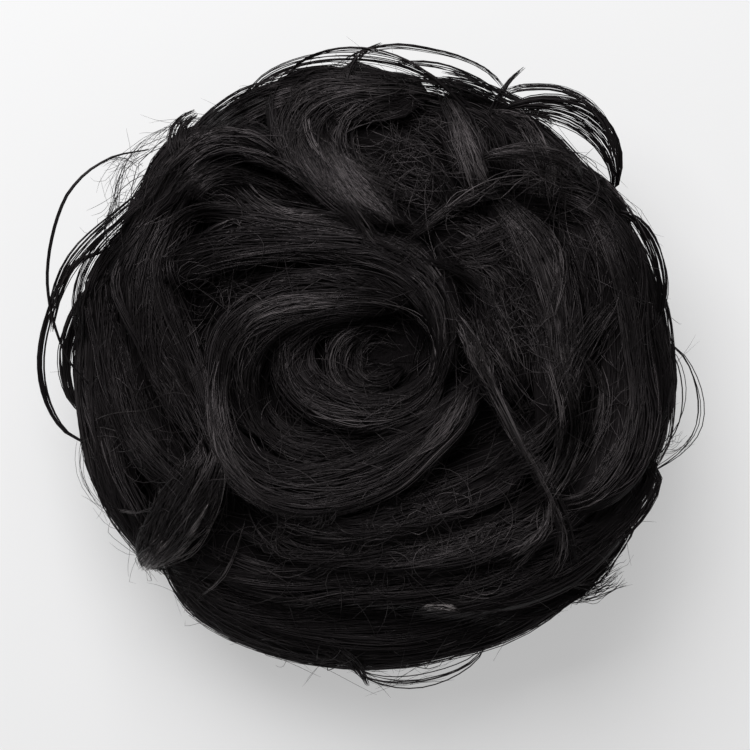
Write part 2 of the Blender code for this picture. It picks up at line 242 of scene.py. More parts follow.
def makeStudio(look):
    bpy.ops.mesh.primitive_plane_add(size=look["floorSize"], location=(0, 0, 0))
    floor = bpy.context.object
    floor.name = "studioFloor"
    finish = Finish("paleFloor")
    place = finish.node("ShaderNodeTexCoord", None, None, "Object")
    speck = finish.noise(place, look["speckStretch"]) * look["speckShare"]
    floor.data.materials.append(finish.surface({
        "Base Color": finish.blendColours(speck, look["floor"], look["floorSpeck"]),
        "Roughness": look["floorRoughness"],
        "Specular IOR Level": look["floorSpecular"],
        "Emission Color": look["white"],
        "Emission Strength": look["floorGlow"],
    }))
    world = bpy.data.worlds.new("studioWorld")
    bpy.context.scene.world = world
    world.use_nodes = True
    back = world.node_tree.nodes["Background"]
    back.inputs["Color"].default_value = look["white"]
    back.inputs["Strength"].default_value = look["worldStrength"]
    key = bpy.data.objects.new("softKey", bpy.data.lights.new("softKey", "AREA"))
    key.data.shape = "SQUARE"
    key.data.size = look["keySize"]
    key.data.energy = look["keyPower"]
    key.location = look["keyPlace"]
    bpy.context.scene.collection.objects.link(key)
    aimAt(key, (0, 0, 0))
    camera = bpy.data.objects.new("camera", bpy.data.cameras.new("camera"))
    bpy.context.scene.collection.objects.link(camera)
    raised = math.radians(look["elevation"])
    target = Vector(look["target"])
    camera.location = target + Vector((0, -math.cos(raised), math.sin(raised))) * look["cameraDistance"]
    camera.data.sensor_width = look["sensor"]
    camera.data.lens = look["sensor"] * look["cameraDistance"] / look["frameWidth"]
    aimAt(camera, target)
    bpy.context.scene.camera = camera
    bpy.context.scene.view_settings.view_transform = "Standard"


makeStudio(studio)


# Places in the picture and the camera's rays through them
class Picture:
    def __init__(self, look):
        raised = math.radians(look["elevation"])
        self.right = np.array([1.0, 0.0, 0.0])
        self.up = np.array([0.0, math.sin(raised), math.cos(raised)])
        self.back = np.array([0.0, -math.cos(raised), math.sin(raised)])
        self.target = np.array(look["target"])
        self.eye = self.target + self.back * look["cameraDistance"]
        self.middle = look["picture"] / 2
        self.scale = look["frameWidth"] / look["picture"]

    def rays(self, places):
        across = (places[..., :1] - self.middle) * self.scale
        upward = (self.middle - places[..., 1:]) * self.scale
        return unit(self.target + across * self.right + upward * self.up - self.eye)


picture = Picture(studio)


# Gathers the points and faces of one piece, and makes one mesh of them
class PieceMesh:
    def __init__(self):
        self.points, self.faces, self.tones, self.runs, self.total = [], [], [], [], 0

    def add(self, points, faceSets, tone, run, material):
        for faces in faceSets:
            self.faces.append((faces + self.total, material))
        self.points.append(points)
        self.tones.append(np.broadcast_to(tone, len(points)))
        self.runs.append(run)
        self.total += len(points)

    def build(self, name, materials, standsFor=None):
        mesh = bpy.data.meshes.new(name)
        corners = np.concatenate([faces.ravel() for faces, _ in self.faces])
        sizes = np.concatenate([np.full(len(faces), faces.shape[1]) for faces, _ in self.faces])
        kinds = np.concatenate([np.full(len(faces), material) for faces, material in self.faces])
        mesh.vertices.add(self.total)
        mesh.vertices.foreach_set("co", np.concatenate(self.points).astype(np.float32).ravel())
        mesh.loops.add(len(corners))
        mesh.loops.foreach_set("vertex_index", corners.astype(np.int32))
        mesh.polygons.add(len(sizes))
        mesh.polygons.foreach_set("loop_start", (np.cumsum(sizes) - sizes).astype(np.int32))
        mesh.polygons.foreach_set("material_index", kinds.astype(np.int32))
        mesh.polygons.foreach_set("use_smooth", np.ones(len(sizes), bool))
        mesh.update(calc_edges=True)
        tones = mesh.attributes.new("tone", "FLOAT", "POINT")
        tones.data.foreach_set("value", np.concatenate(self.tones).astype(np.float32))
        runs = mesh.attributes.new("run", "FLOAT_VECTOR", "POINT")
        runs.data.foreach_set("vector", np.concatenate(self.runs).astype(np.float32).ravel())
        for material in materials[:kinds.max() + 1]:
            mesh.materials.append(material)
        thing = bpy.data.objects.new(name, mesh)
        bpy.context.scene.collection.objects.link(thing)
        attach(thing, bodyName)
        if standsFor:
            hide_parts(standsFor)
        return len(sizes)


bunMiddle = (0.0, 0.0, 0.018)
bunReach = (0.070**2, 0.070**2, 0.046**2)  # half its widths and its height, squared


def outward(points):
    # away from the middle of the bun, for any point on or near it
    return unit((points - bunMiddle) / bunReach)


def travelled(line):
    # how far along its line each point lies
    steps = np.linalg.norm(np.diff(line, axis=-2), axis=-1)
    return np.concatenate([np.zeros((*steps.shape[:-1], 1)), np.cumsum(steps, axis=-1)], axis=-1)


def evenLine(line, count):
    # the same line with its points at even steps, and its length
    along = travelled(line)
    wanted = np.linspace(0, along[-1], count)
    return np.column_stack([np.interp(wanted, along, column) for column in line.T]), along[-1]


def smoothRows(grid, passes):
    for _ in range(passes):
        grid[1:-1] = (grid[:-2] + 2 * grid[1:-1] + grid[2:]) / 4


def betweenRows(table, row, lines=None):
    # a table read between its rows; where lines are given, each hair reads its own line of the table
    low = np.minimum(row.astype(int), table.shape[0 if lines is None else 1] - 2)
    part = row - low
    if lines is None:
        return table[low] * (1 - part[..., None]) + table[low + 1] * part[..., None]
    lines = lines[:, None]
    return table[lines, low] * (1 - part) + table[lines, low + 1] * part


def betweenCells(grid, i, j, u, v):
    # a grid read between its cells
    if grid.ndim == 3:
        u, v = u[..., None], v[..., None]
    a, b, c, d = grid[i, j], grid[i, j + 1], grid[i + 1, j], grid[i + 1, j + 1]
    return (1 - u) * ((1 - v) * a + v * b) + u * ((1 - v) * c + v * d)


def tubeWalls(rows, size, closed=False, turned=False):
    # the faces between rings of so many corners; turned ones face the other way
    here = size * np.arange(rows if closed else rows - 1)[:, None]
    there = (here + size) % (rows * size)
    k = np.arange(size)[None]
    following = (k + 1) % size
    corners = [here + k, there + k, there + following, here + following]
    if turned:
        corners = [corners[0], *corners[:0:-1]]
    return np.stack(corners, axis=-1).reshape(-1, 4)


def addStrands(piece, lines, radii, tones, runStart, begin=None, material=0):
    # closed three-sided tubes along lines, which are strands x stations x 3
    # begin is how far along its lock a strand starts
    count, stations = lines.shape[:2]
    lines[..., 2] = np.maximum(lines[..., 2], radii + 0.02 * mm)  # nothing sinks into the floor
    run = unit(np.gradient(lines, axis=1))
    side = unit(np.cross(outward(lines), run))
    up = np.cross(run, side)
    turns = np.array([0.0, 2 * math.pi / 3, 4 * math.pi / 3])
    ring = np.cos(turns)[:, None] * up[:, :, None] + np.sin(turns)[:, None] * side[:, :, None]
    corners = lines[:, :, None] + radii[:, :, None, None] * ring
    first = 3 * stations * np.arange(count)[:, None, None] + 3 * np.arange(stations - 1)[None, :, None]
    k, following = np.arange(3), np.array([1, 2, 0])
    walls = np.stack([first + k, first + 3 + k, first + 3 + following, first + following], axis=-1)
    start = 3 * stations * np.arange(count)[:, None]
    caps = np.concatenate([start + (0, 1, 2), start + 3 * (stations - 1) + (2, 1, 0)])
    along = travelled(lines) + (0 if begin is None else begin[:, None])
    runs = np.zeros(corners.shape)
    runs[..., 0] = runStart[:, None, None]
    runs[..., 1] = along[:, :, None]
    spread = np.repeat(tones, 3 * stations)
    faces = [walls.reshape(-1, 4), caps]
    piece.add(corners.reshape(-1, 3), faces, spread, runs.reshape(-1, 3), material)


strandForm = {
    "toneSpread": 0.38,
    "palest": 0.9,
    "tipReach": 0.18,
    "tipCurve": 0.6,
}


def fromEnds(share, reach):
    # 0 at both ends of a line and 1 from the reach inwards
    return np.clip(np.minimum(share, 1 - share) / reach, 0, 1)


def strandTones(rng, middle):
    # most hairs are dark and a few are pale
    spread = np.exp(strandForm["toneSpread"] * rng.normal(size=len(middle)))
    return np.clip(middle * spread, 0, strandForm["palest"])


def strandRadii(rng, count, stations, look):
    # each strand has its own thickness and thins towards both its tips
    full = fromEnds(np.linspace(0, 1, stations), strandForm["tipReach"]) ** strandForm["tipCurve"]
    own = look["radius"] * (1 + look["radiusSpread"] * (rng.random(count) - 0.5))
    return own[:, None] * (look["tip"] + (1 - look["tip"]) * full)


def addPlainHairs(piece, rng, lines, look):
    # hairs that lie in no lock
    count, stations = lines.shape[:2]
    radii = strandRadii(rng, count, stations, look)
    tones = strandTones(rng, np.full(count, look["tone"]))
    addStrands(piece, lines, radii, tones, rng.random(count))


def addLockHairs(piece, rng, lines, look, locks, lock, begin, met=slice(None)):
    # the hairs of a lock share its tone and its patches; met says which hairs stay
    count, stations = lines.shape[:2]
    radii = strandRadii(rng, count, stations, look)
    lockTone = np.exp(look["lockTone"] * rng.normal(size=locks))[lock]
    tones = strandTones(rng, look["tone"] * lockTone)
    runStart = rng.random(locks)[lock] + look["patchSpread"] * rng.random(count)
    addStrands(piece, lines[met], radii[met], tones[met], runStart[met], begin[met], look["finish"])


def turnedFlat(points, decimals):
    # the points' distances from the axis and their heights, without doubles
    flat = np.column_stack([np.hypot(points[:, 0], points[:, 1]), points[:, 2]])
    return np.unique(np.round(flat, decimals), axis=0)


chartRows = 240
routeRows = 161
lockRows = 60
ribbonRows = 80


# The base's outer form as a chart: a bearing, and the distance from the crown along the surface
class BaseChart:
    def __init__(self, node):
        flat = turnedFlat(np.array([v.co for v in node.data.vertices]), 6)
        both = np.vstack([flat, flat * (-1, 1)])
        line = both[geometry.convex_hull_2d([Vector(p) for p in both])]
        line = line[line[:, 0] > -1e-6]
        # from the crown to the foot, as seen from a place on the axis
        line = line[np.argsort(np.arctan2(line[:, 0], line[:, 1] - 0.4 * flat[:, 1].max()))]
        self.line, self.length = evenLine(line, chartRows)
        self.along = np.linspace(0, self.length, chartRows)
        smoothRows(self.line, 30)
        slope = np.gradient(self.line, axis=0)
        slope[0] = (1.0, 0.0)
        self.normal = unit(np.column_stack([-slope[:, 1], slope[:, 0]]))

    def toSpace(self, chart, height):
        along = np.linalg.norm(chart, axis=-1)
        out = chart / np.maximum(along, 1e-9)[..., None]
        r, z, nr, nz = (np.interp(along, self.along, column) for column in [*self.line.T, *self.normal.T])
        reach = r + height * nr
        return np.concatenate([out * reach[..., None], (z + height * nz)[..., None]], axis=-1)

    def toChart(self, points):
        flat = points.reshape(-1, 3)
        r = np.hypot(flat[:, 0], flat[:, 1])
        out = flat[:, :2] / np.maximum(r, 1e-9)[:, None]
        along = np.empty(len(flat))
        for start in range(0, len(flat), 20000):
            part = slice(start, start + 20000)
            offR = r[part, None] - self.line[None, :, 0]
            offZ = flat[part, 2, None] - self.line[None, :, 1]
            # the row whose normal meets the point, and the nearer one where two do
            slant = np.abs(offR * self.normal[:, 1] - offZ * self.normal[:, 0])
            nearest = np.argmin(slant + 0.3 * np.hypot(offR, offZ), axis=1)
            along[part] = self.along[nearest]
        return (out * along[:, None]).reshape(*points.shape[:-1], 2)

    def normalAt(self, points):
        chart = self.toChart(points)
        above = self.toSpace(chart, np.full(chart.shape[:-1], mm))
        return unit(above - self.toSpace(chart, np.zeros(chart.shape[:-1])))


def weldedMesh(node):
    # the node's corners without doubles, and its triangles
    places = np.array([v.co for v in node.data.vertices])
    _, firsts, inverse = np.unique(np.round(places, 6), axis=0, return_index=True, return_inverse=True)
    node.data.calc_loop_triangles()
    triangles = np.array([t.vertices for t in node.data.loop_triangles])
    return places[firsts], inverse.reshape(-1)[triangles]


def edgeDistances(corners, triangles, start):
    # the shortest way along the edges from one corner to each other corner
    links = {}
    sides = np.vstack([triangles[:, [0, 1]], triangles[:, [1, 2]], triangles[:, [2, 0]]])
    for a, b in np.unique(np.sort(sides), axis=0):
        length = float(np.linalg.norm(corners[a] - corners[b]))
        links.setdefault(a, []).append((b, length))
        links.setdefault(b, []).append((a, length))
    found = np.full(len(corners), np.inf)
    found[start] = 0.0
    queue = [(0.0, start)]
    while queue:
        distance, here = heapq.heappop(queue)
        if distance > found[here]:
            continue
        for there, length in links[here]:
            if distance + length < found[there] - 1e-12:
                found[there] = distance + length
                heapq.heappush(queue, (found[there], there))
    return found


def fitAlong(shares, values, wanted, width):
    # a smooth line through scattered values, by local straight fits
    gap = shares[None, :] - wanted[:, None]
    weight = np.exp(-0.5 * (gap / width) ** 2)
    s0, s1, s2 = weight.sum(1), (weight * gap).sum(1), (weight * gap**2).sum(1)
    values = values.reshape(len(shares), -1)
    y0, y1 = weight @ values, (weight * gap) @ values
    return (s2[:, None] * y0 - s1[:, None] * y1) / (s0 * s2 - s1**2)[:, None]


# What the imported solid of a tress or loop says: its centre line, its half width, its top and its under side
class Route:
    # spacing is how far apart the solid's rings of corners lie, and ringSpread is how far the corners of
    # a ring lie from its middle: the mean square, for a half width of 1
    def __init__(self, name, chart, ringSpread=0.373, spacing=6.6 * mm):
        corners, triangles = weldedMesh(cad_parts[name])
        fromAny = edgeDistances(corners, triangles, 0)
        one = int(np.argmax(fromAny))
        fromOne = edgeDistances(corners, triangles, one)
        other = int(np.argmax(fromOne))
        fromOther = edgeDistances(corners, triangles, other)
        shares = (fromOne - fromOther) / fromOne[other] / 2 + 0.5
        wanted = np.linspace(0, 1, routeRows)
        for window in (0.14, 0.10):  # each corner finds its share again on the line that is found
            width = 0.62 * spacing / fromOne[other]
            line, self.length = evenLine(fitAlong(shares, corners, wanted, max(width, 0.02)), routeRows)
            away = np.linalg.norm(corners[:, None] - line[None], axis=2)
            away[np.abs(shares[:, None] - wanted[None]) > window] = np.inf
            shares = wanted[np.argmin(away, axis=1)]
        self.tree = BVHTree.FromPolygons([Vector(p) for p in corners], triangles.tolist())
        count = max(12, round(self.length / (2.4 * mm)))
        self.centre, _ = evenLine(line, count)
        side = unit(np.cross(chart.normalAt(line), unit(np.gradient(line, axis=0))))
        station = np.round(shares * (routeRows - 1)).astype(int)
        lateral = np.sum((corners - line[station]) * side[station], axis=1)
        width = max(0.7 * spacing / self.length, 0.02)
        spread = fitAlong(shares, lateral**2, np.linspace(0, 1, count), width)
        self.half = np.sqrt(np.clip(spread[:, 0], (0.2 * mm) ** 2, None) / ringSpread)
        self.run = unit(np.gradient(self.centre, axis=0))
        self.side = unit(np.cross(chart.normalAt(self.centre), self.run))

    def readFaces(self, chart, columns=13):
        # casts through the solid at a grid of places, from above and from below
        self.columns = np.linspace(-1, 1, columns)
        across = self.half[:, None] * self.columns * 0.965  # just short of the edge
        self.grid = self.centre[:, None] + self.side[:, None] * across[..., None]
        self.normals = chart.normalAt(self.grid)
        top = np.full(self.grid.shape[:2], np.nan)
        under = top.copy()
        reach = 22 * mm
        for i, row in enumerate(self.grid):
            for j, place in enumerate(row):
                normal = Vector(self.normals[i, j])
                middle = Vector(place)
                hit = self.tree.ray_cast(middle + normal * reach, -normal, 2 * reach)
                if hit[0] is not None:
                    top[i, j] = reach - hit[3]
                    hit = self.tree.ray_cast(middle - normal * reach, normal, 2 * reach)
                    under[i, j] = hit[3] - reach
        for grid in (top, under):
            for i, row in enumerate(grid):
                known = np.flatnonzero(~np.isnan(row))
                if len(known):
                    grid[i] = np.interp(np.arange(columns), known, row[known])
            rows = np.flatnonzero(~np.isnan(grid[:, 0]))
            for j in range(columns):
                grid[:, j] = np.interp(np.arange(len(grid)), rows, grid[rows, j])
            smoothRows(grid, 2)
        self.top, self.under = top, under

    def sample(self, share, across):
        # the place, the normal, the top and the under side at shares along and across
        rows = np.clip(share, 0, 1) * (len(self.grid) - 1)
        beyond = (share - np.clip(share, 0, 1)) * self.length
        columns = (np.clip(across, -1, 1) + 1) / 2 * (self.grid.shape[1] - 1)
        i = np.clip(rows.astype(int), 0, len(self.grid) - 2)
        j = np.clip(columns.astype(int), 0, self.grid.shape[1] - 2)
        u, v = rows - i, columns - j

        def between(grid):
            return betweenCells(grid, i, j, u, v)

        def line(values):
            return values[i] + (values[i + 1] - values[i]) * (u if values.ndim == 1 else u[..., None])

        place, normal = between(self.grid), unit(between(self.normals))
        outside = (across - np.clip(across, -1, 1)) * line(self.half)
        place = place + line(self.side) * outside[..., None] + line(self.run) * beyond[..., None]
        return place, normal, between(self.top), between(self.under), np.abs(outside)


# Where the picture shows it so, the rim's hair stands a little out or in of the solids: bearings in degrees
# and shifts in mm
rimShift = [
    (-60, 0.9), (-48, 2.2), (-25, 1.5), (-10, 3.2), (5, 0.5), (20, 0.5), (32, 0.5), (44, -1.8), (58, 3.2),
    (72, 2.2), (88, 0), (112, 2.0), (122, 0), (131, -3.0), (142, -6.0), (152, -2.5), (165, 3.5), (178, 1.5),
    (195, 0.5), (212, 0.8), (232, 1.2), (250, 0), (262, -0.8), (285, -1.0), (300, 0.9),
]


def shiftRim(points):
    # nothing moves within 50 mm of the middle, and all of the shift is there from 66 mm
    r = np.hypot(points[..., 0], points[..., 1])
    bearing = np.degrees(np.arctan2(points[..., 1], points[..., 0]))
    bearing = np.where(bearing < -60, bearing + 360, bearing)
    share = np.clip((r - 50 * mm) / (16 * mm), 0, 1)
    shift = np.interp(bearing, *zip(*rimShift)) * mm * share * share * (3 - 2 * share)
    points[..., :2] *= (1 + shift / np.maximum(r, mm))[..., None]
    return points


def addCore(piece, route, look, rng):
    # the closed body of hair under the strands of a tress, a little smaller than the solid
    rows, columns = route.top.shape
    thick = route.top - route.under
    share = np.linspace(0, 1, rows)[:, None]
    full = fromEnds(share, look["tipSink"]) ** look["tipCurve"]
    top = route.under + thick * look["coreShare"] * (look["coreTip"] + (1 - look["coreTip"]) * full)
    under = route.under + look["coreFoot"] * thick
    over = route.grid + route.normals * top[..., None]
    below = route.grid + route.normals * under[..., None]
    rings = shiftRim(np.concatenate([over, below[:, ::-1]], axis=1))
    size = rings.shape[1]
    across = np.concatenate([route.columns, route.columns[::-1] + 3.0])[None, :] * route.half.max()
    runs = np.zeros(rings.shape)
    runs[..., 0] = across + rng.random() * 0.05
    runs[..., 1] = np.linspace(0, route.length, rows)[:, None]
    j = np.arange(columns - 1)
    start = np.stack([j, size - 1 - j, size - 2 - j, j + 1], axis=-1)
    faces = [tubeWalls(rows, size, turned=True), start, start[:, ::-1] + size * (rows - 1)]
    piece.add(rings.reshape(-1, 3), faces, look["coreTone"], runs.reshape(-1, 3), 1)


waveForm = {
    "faster": 1.7,  # from one octave to the next
    "weaker": 1.5,
    "leastPace": 0.7,
    "morePace": 0.6,
    "scale": 1.6,
}


def waves(rng, count, share, slowest, octaves=2):
    # a smooth random line for each strand, between about -1 and 1
    total = np.zeros((count, share.shape[-1]))
    for k in range(octaves):
        phase = rng.random((count, 1)) * 2 * math.pi
        pace = waveForm["leastPace"] + waveForm["morePace"] * rng.random((count, 1))
        turns = slowest * waveForm["faster"] ** k * pace
        total += np.sin(phase + 2 * math.pi * turns * share) / waveForm["weaker"] ** k
    return total / waveForm["scale"]


def addTressStrands(piece, route, look, rng):
    # strands lie in locks; each one turns slowly round its lock's middle, so it rises and dives
    widest = route.half.max()
    count = int(round(look["perMm"] * 2 * widest / mm))
    stations = max(7, int(round(route.length / look["step"])) + 1)
    locks = max(2, int(round(2 * widest / look["lockWidth"])))
    share = np.linspace(0, 1, stations)
    starts = -look["past"] + rng.random((count, 1)) ** look["frayCurve"] * look["fray"]
    ends = 1 + look["past"] - rng.random((count, 1)) ** look["frayCurve"] * look["fray"]
    along = starts + (ends - starts) * share
    lock = rng.integers(0, locks, count)
    lockShare = np.linspace(0, 1, lockRows)
    drift = waves(rng, locks, lockShare, look["driftPace"], 3) * look["lockDrift"]
    lift = waves(rng, locks, lockShare, look["liftPace"], 3) * look["lockLift"]
    middle = (2 * (np.arange(locks) + 0.5) / locks - 1) * look["lockReach"]
    row = np.clip(along, 0, 1) * (lockRows - 1)
    lockDrift, lockLift = betweenRows(drift, row, lock), betweenRows(lift, row, lock)
    turn = rng.random((count, 1)) * math.pi
    turn = turn + (rng.random((count, 1)) - 0.5) * look["twist"] * 2 * math.pi * share
    least, more = look["lockRing"]
    size = least + more * rng.random((count, 1)) ** look["lockRingCurve"]
    across = middle[lock][:, None] + lockDrift + np.cos(turn) * size * (look["lockSpread"] / locks)
    across += waves(rng, count, share, look["wanderPace"]) * look["wander"] / (widest / look["wanderWidth"])
    lifts = (np.sin(turn) * size - 1.0) * look["lockDepth"] + lockLift
    loose = rng.random(count) < look["looseShare"]
    across[loose] += waves(rng, int(loose.sum()), share, look["loosePace"]) * look["looseWander"]
    looseWave = np.abs(waves(rng, int(loose.sum()), share, look["liftPace"]))
    lifts[loose] = looseWave * look["looseLift"] + look["looseLeast"]
    place, normal, top, under, outside = route.sample(along, across)
    thick = np.maximum(top - under, look["thinnest"])
    full = fromEnds(along, look["tipSink"]) ** look["tipCurve"]
    height = top - thick * look["tipDrop"] * (1 - full) + np.maximum(lifts, -look["deepest"] * thick)
    height -= look["edgeDrop"] * outside
    lines = shiftRim(place + normal * height[..., None])
    addLockHairs(piece, rng, lines, look, locks, lock, starts[:, 0] * route.length)


print("the base surface")
chart = BaseChart(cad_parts["wound_base"])

# Every tress: how many strands it has, how they lie in locks, and how far they stray
tressHair = {
    "perMm": 7.0,
    "step": 5.0 * mm,
    "radius": 0.135 * mm,
    "radiusSpread": 0.5,
    "tip": 0.35,
    "lockWidth": 1.7 * mm,
    "lockSpread": 0.85,
    "lockRing": (0.35, 0.75),
    "lockRingCurve": 0.6,
    "lockDrift": 0.13,
    "driftPace": 0.5,
    "liftPace": 0.8,
    "lockLift": 0.75 * mm,
    "lockDepth": 0.90 * mm,
    "lockTone": 1.1,
    "patchSpread": 0.0015,
    "twist": 1.2,
    "wander": 0.15,
    "wanderPace": 0.9,
    "wanderWidth": 6 * mm,
    "fray": 0.34,
    "frayCurve": 1.5,
    "looseShare": 0.07,
    "loosePace": 0.6,
    "looseWander": 0.45,
    "looseLift": 0.9 * mm,
    "looseLeast": 0.1 * mm,
    "coreShare": 0.76,
    "coreTip": 0.25,
    "coreFoot": 0.06,
    "coreTone": 0.1,
    "tipSink": 0.16,
    "tipCurve": 0.7,
    "tipDrop": 0.6,
    "edgeDrop": 1.1,
    "deepest": 0.85,
    "thinnest": 0.5 * mm,
    "lockReach": 0.92,
    "past": 0.01,
    "gather": 1.0,
    "tone": 0.029,
    "finish": 0,
}

# What differs from tress to tress
# Tones are raised on tresses that catch the light and lowered on tresses in shade or hollows: partly tone
# that differs from tress to tress, partly painted highlight and painted shade
swirlLook = {"step": 3.2 * mm, "lockWidth": 1.5 * mm, "lockDepth": 0.5 * mm}
sideLook = {
    "looseShare": 0.05,
    "looseWander": 0.15,
    "lockDrift": 0.05,
    "wander": 0.05,
    "step": 5.6 * mm,
    "tone": 0.042,
}
tangledLook = {
    "looseShare": 0.03,
    "perMm": 5.0,
    "lockDrift": 0.3,
    "lockDepth": 2.2 * mm,
    "coreShare": 0.4,
    "tone": 0.014,
}
sideNames = [name + "_tress" for name in (
    "low_front", "low_right", "low_back", "low_left", "front_rim", "left_rim", "right_rim", "back_rim",
    "back_right_rim")]
tressLooks = {
    **dict.fromkeys(sideNames, sideLook),
    "top_back_tress": {},
    "tangle_bed_tress": tangledLook,
    "right_tail_tress": {},
    "right_fill_tress": dict(tone=0.025),
    "low_band_tress": {},
    "left_mid_tress": {},
    "right_inner_tress": dict(looseShare=0.10, tone=0.016, lockTone=1.3),
    "high_band_tress": {},
    "left_inner_tress": {},
    "low_inner_tress": dict(looseShare=0.14),
    "left_sweep_tress": {},
    "left_arc_tress": {},
    "right_outer_tress": {},
    "right_upright_tress": dict(lockTone=1.2),
    "rosette_fill_tress": dict(swirlLook, looseShare=0.2, tone=0.03),
    "rosette_shade_tress": dict(swirlLook, tone=0.02),
    "rosette_heart_tress": dict(swirlLook, looseShare=0.2, step=2.2 * mm, tone=0.02),
    "inner_petal_tress": dict(swirlLook, step=2.8 * mm, tone=0.014),
    "crescent_petal_tress": dict(swirlLook, tone=0.055),
    "lower_petal_tress": dict(swirlLook, tone=0.05),
    "upper_petal_tress": dict(swirlLook, tone=0.045),
    "hook_tress": dict(tone=0.05, step=3.6 * mm),
    "hanging_tress": dict(tone=0.06, coreShare=0.5, gather=0.75),
    "hanging_wisp": dict(coreShare=0, gather=0.5, perMm=6.0, fray=0.8, tone=0.16),
    "crossing_wisp": dict(coreShare=0, gather=0.6, perMm=5.0, fray=0.9, tone=0.16, wander=0.4),
    "long_wisp": dict(step=4.0 * mm, coreShare=0.25, gather=0.45, tone=0.11),
    "flare_tress": dict(tone=0.06, fray=0.5, coreShare=0.5, gather=0.85),
}


def seedOf(name):
    return sum((k + 1) * ord(letter) for k, letter in enumerate(name))


def makeTress(name, look):
    rng = np.random.default_rng(seedOf(name))
    route = Route(name, chart)
    route.half *= look["gather"]
    route.readFaces(chart)
    piece = PieceMesh()
    addTressStrands(piece, route, look, rng)
    if look["coreShare"]:
        addCore(piece, route, look, rng)
    piece.build(name.replace("_tress", "_strands"), [strandMaterial, coreMaterial], standsFor=name)
    return route


routes = {name: makeTress(name, {**tressHair, **changes}) for name, changes in tressLooks.items()}
print("tresses", len(routes))

# The stray loops: a few fine hairs follow each thin solid and part from one another
loopHair = {
    "radius": 0.14 * mm,
    "radiusSpread": 0.7,
    "tip": 0.5,
    "step": 2.6 * mm,
    "closed": 0.35,
    "part": 0.6,
    "pace": 0.5,
    "inwardCurve": 1.3,
    "outward": 0.0,
    "sink": 1.6 * mm,
    "sinkReach": 0.1,
    "tone": 0.03,
}
loopLooks = {
    "left_loop_inner": dict(hairs=60, spread=0.8 * mm, inward=6.0 * mm),
    "left_loop_middle": dict(hairs=20, spread=0.45 * mm, inward=1.6 * mm),
    "left_loop_outer": dict(hairs=12, spread=0.2 * mm, inward=0.3 * mm, radius=0.17 * mm),
    "top_loop_low": dict(hairs=11, spread=0.5 * mm, inward=2.4 * mm, radius=0.11 * mm),
    "top_loop_high": dict(hairs=10, spread=0.32 * mm, inward=1.0 * mm, radius=0.12 * mm),
    "top_right_loop_outer": dict(
        hairs=80, spread=0.6 * mm, inward=7.6 * mm, outward=4.4 * mm, radius=0.10 * mm),
    "top_right_loop_inner": dict(
        hairs=44, spread=1.1 * mm, inward=4.0 * mm, outward=1.0 * mm, radius=0.10 * mm, tone=0.3),
    "right_loop": dict(hairs=26, spread=0.5 * mm, inward=3.2 * mm),
    "right_stray_loop": dict(hairs=6, spread=1.3 * mm, inward=5.0 * mm),
    "front_stray_loop": dict(hairs=6, spread=1.0 * mm, inward=2.0 * mm),
}


def makeLoop(name, look):
    rng = np.random.default_rng(seedOf(name))
    route = Route(name, chart, 0.5, 5.5 * mm)
    count, stations = look["hairs"], max(10, int(route.length / look["step"]))
    line, _ = evenLine(route.centre, stations)
    share = np.linspace(0, 1, stations)
    out = outward(line)
    aside = unit(np.cross(out, unit(np.gradient(line, axis=0))))
    opened = (look["closed"] + (1 - look["closed"]) * np.sin(math.pi * share))[None]

    def wander():
        own = waves(rng, count, share, look["pace"]) + rng.normal(size=(count, 1)) * look["part"]
        return own * look["spread"] * opened

    across, raised = wander(), wander()
    raised -= (look["inward"] * rng.random((count, 1)) ** look["inwardCurve"] - look["outward"]) * opened
    lines = line[None] + aside[None] * across[..., None] + out[None] * raised[..., None]
    lines -= out[None] * (look["sink"] * (1 - fromEnds(share, look["sinkReach"])))[None, :, None]
    piece = PieceMesh()
    addPlainHairs(piece, rng, lines, look)
    piece.build(name + "_hairs", [strandMaterial], standsFor=name)


for name, changes in loopLooks.items():
    makeLoop(name, {**loopHair, **changes})
print("loops", len(loopLooks))

print("the wound base")
baseHair = {
    "seed": 11,
    "strandLength": 62 * mm,
    "step": 5.6 * mm,
    "radius": 0.19 * mm,
    "radiusSpread": 0.4,
    "tip": 0.4,
    "strands": 900,
    "tilt": 0.16,
    "bend": 3,
    "hover": 6 * mm,
    "lift": (-0.15 * mm, 0.45 * mm),
    "foot": 0.35 * mm,
    "edge": 0.6 * mm,
    "crownShare": 0.06,
    "tone": 0.03,
    "coreTone": 0.1,
    "ridges": 0.35 * mm,
    "ridgeWaves": ((2, 2400, 0.5), (-3, 1500, 0.6), (5, 3400, 0.35)),  # turns, pitch and size
    "segments": 168,
    "innerRows": 26,
    "thinnest": 4 * mm,
}


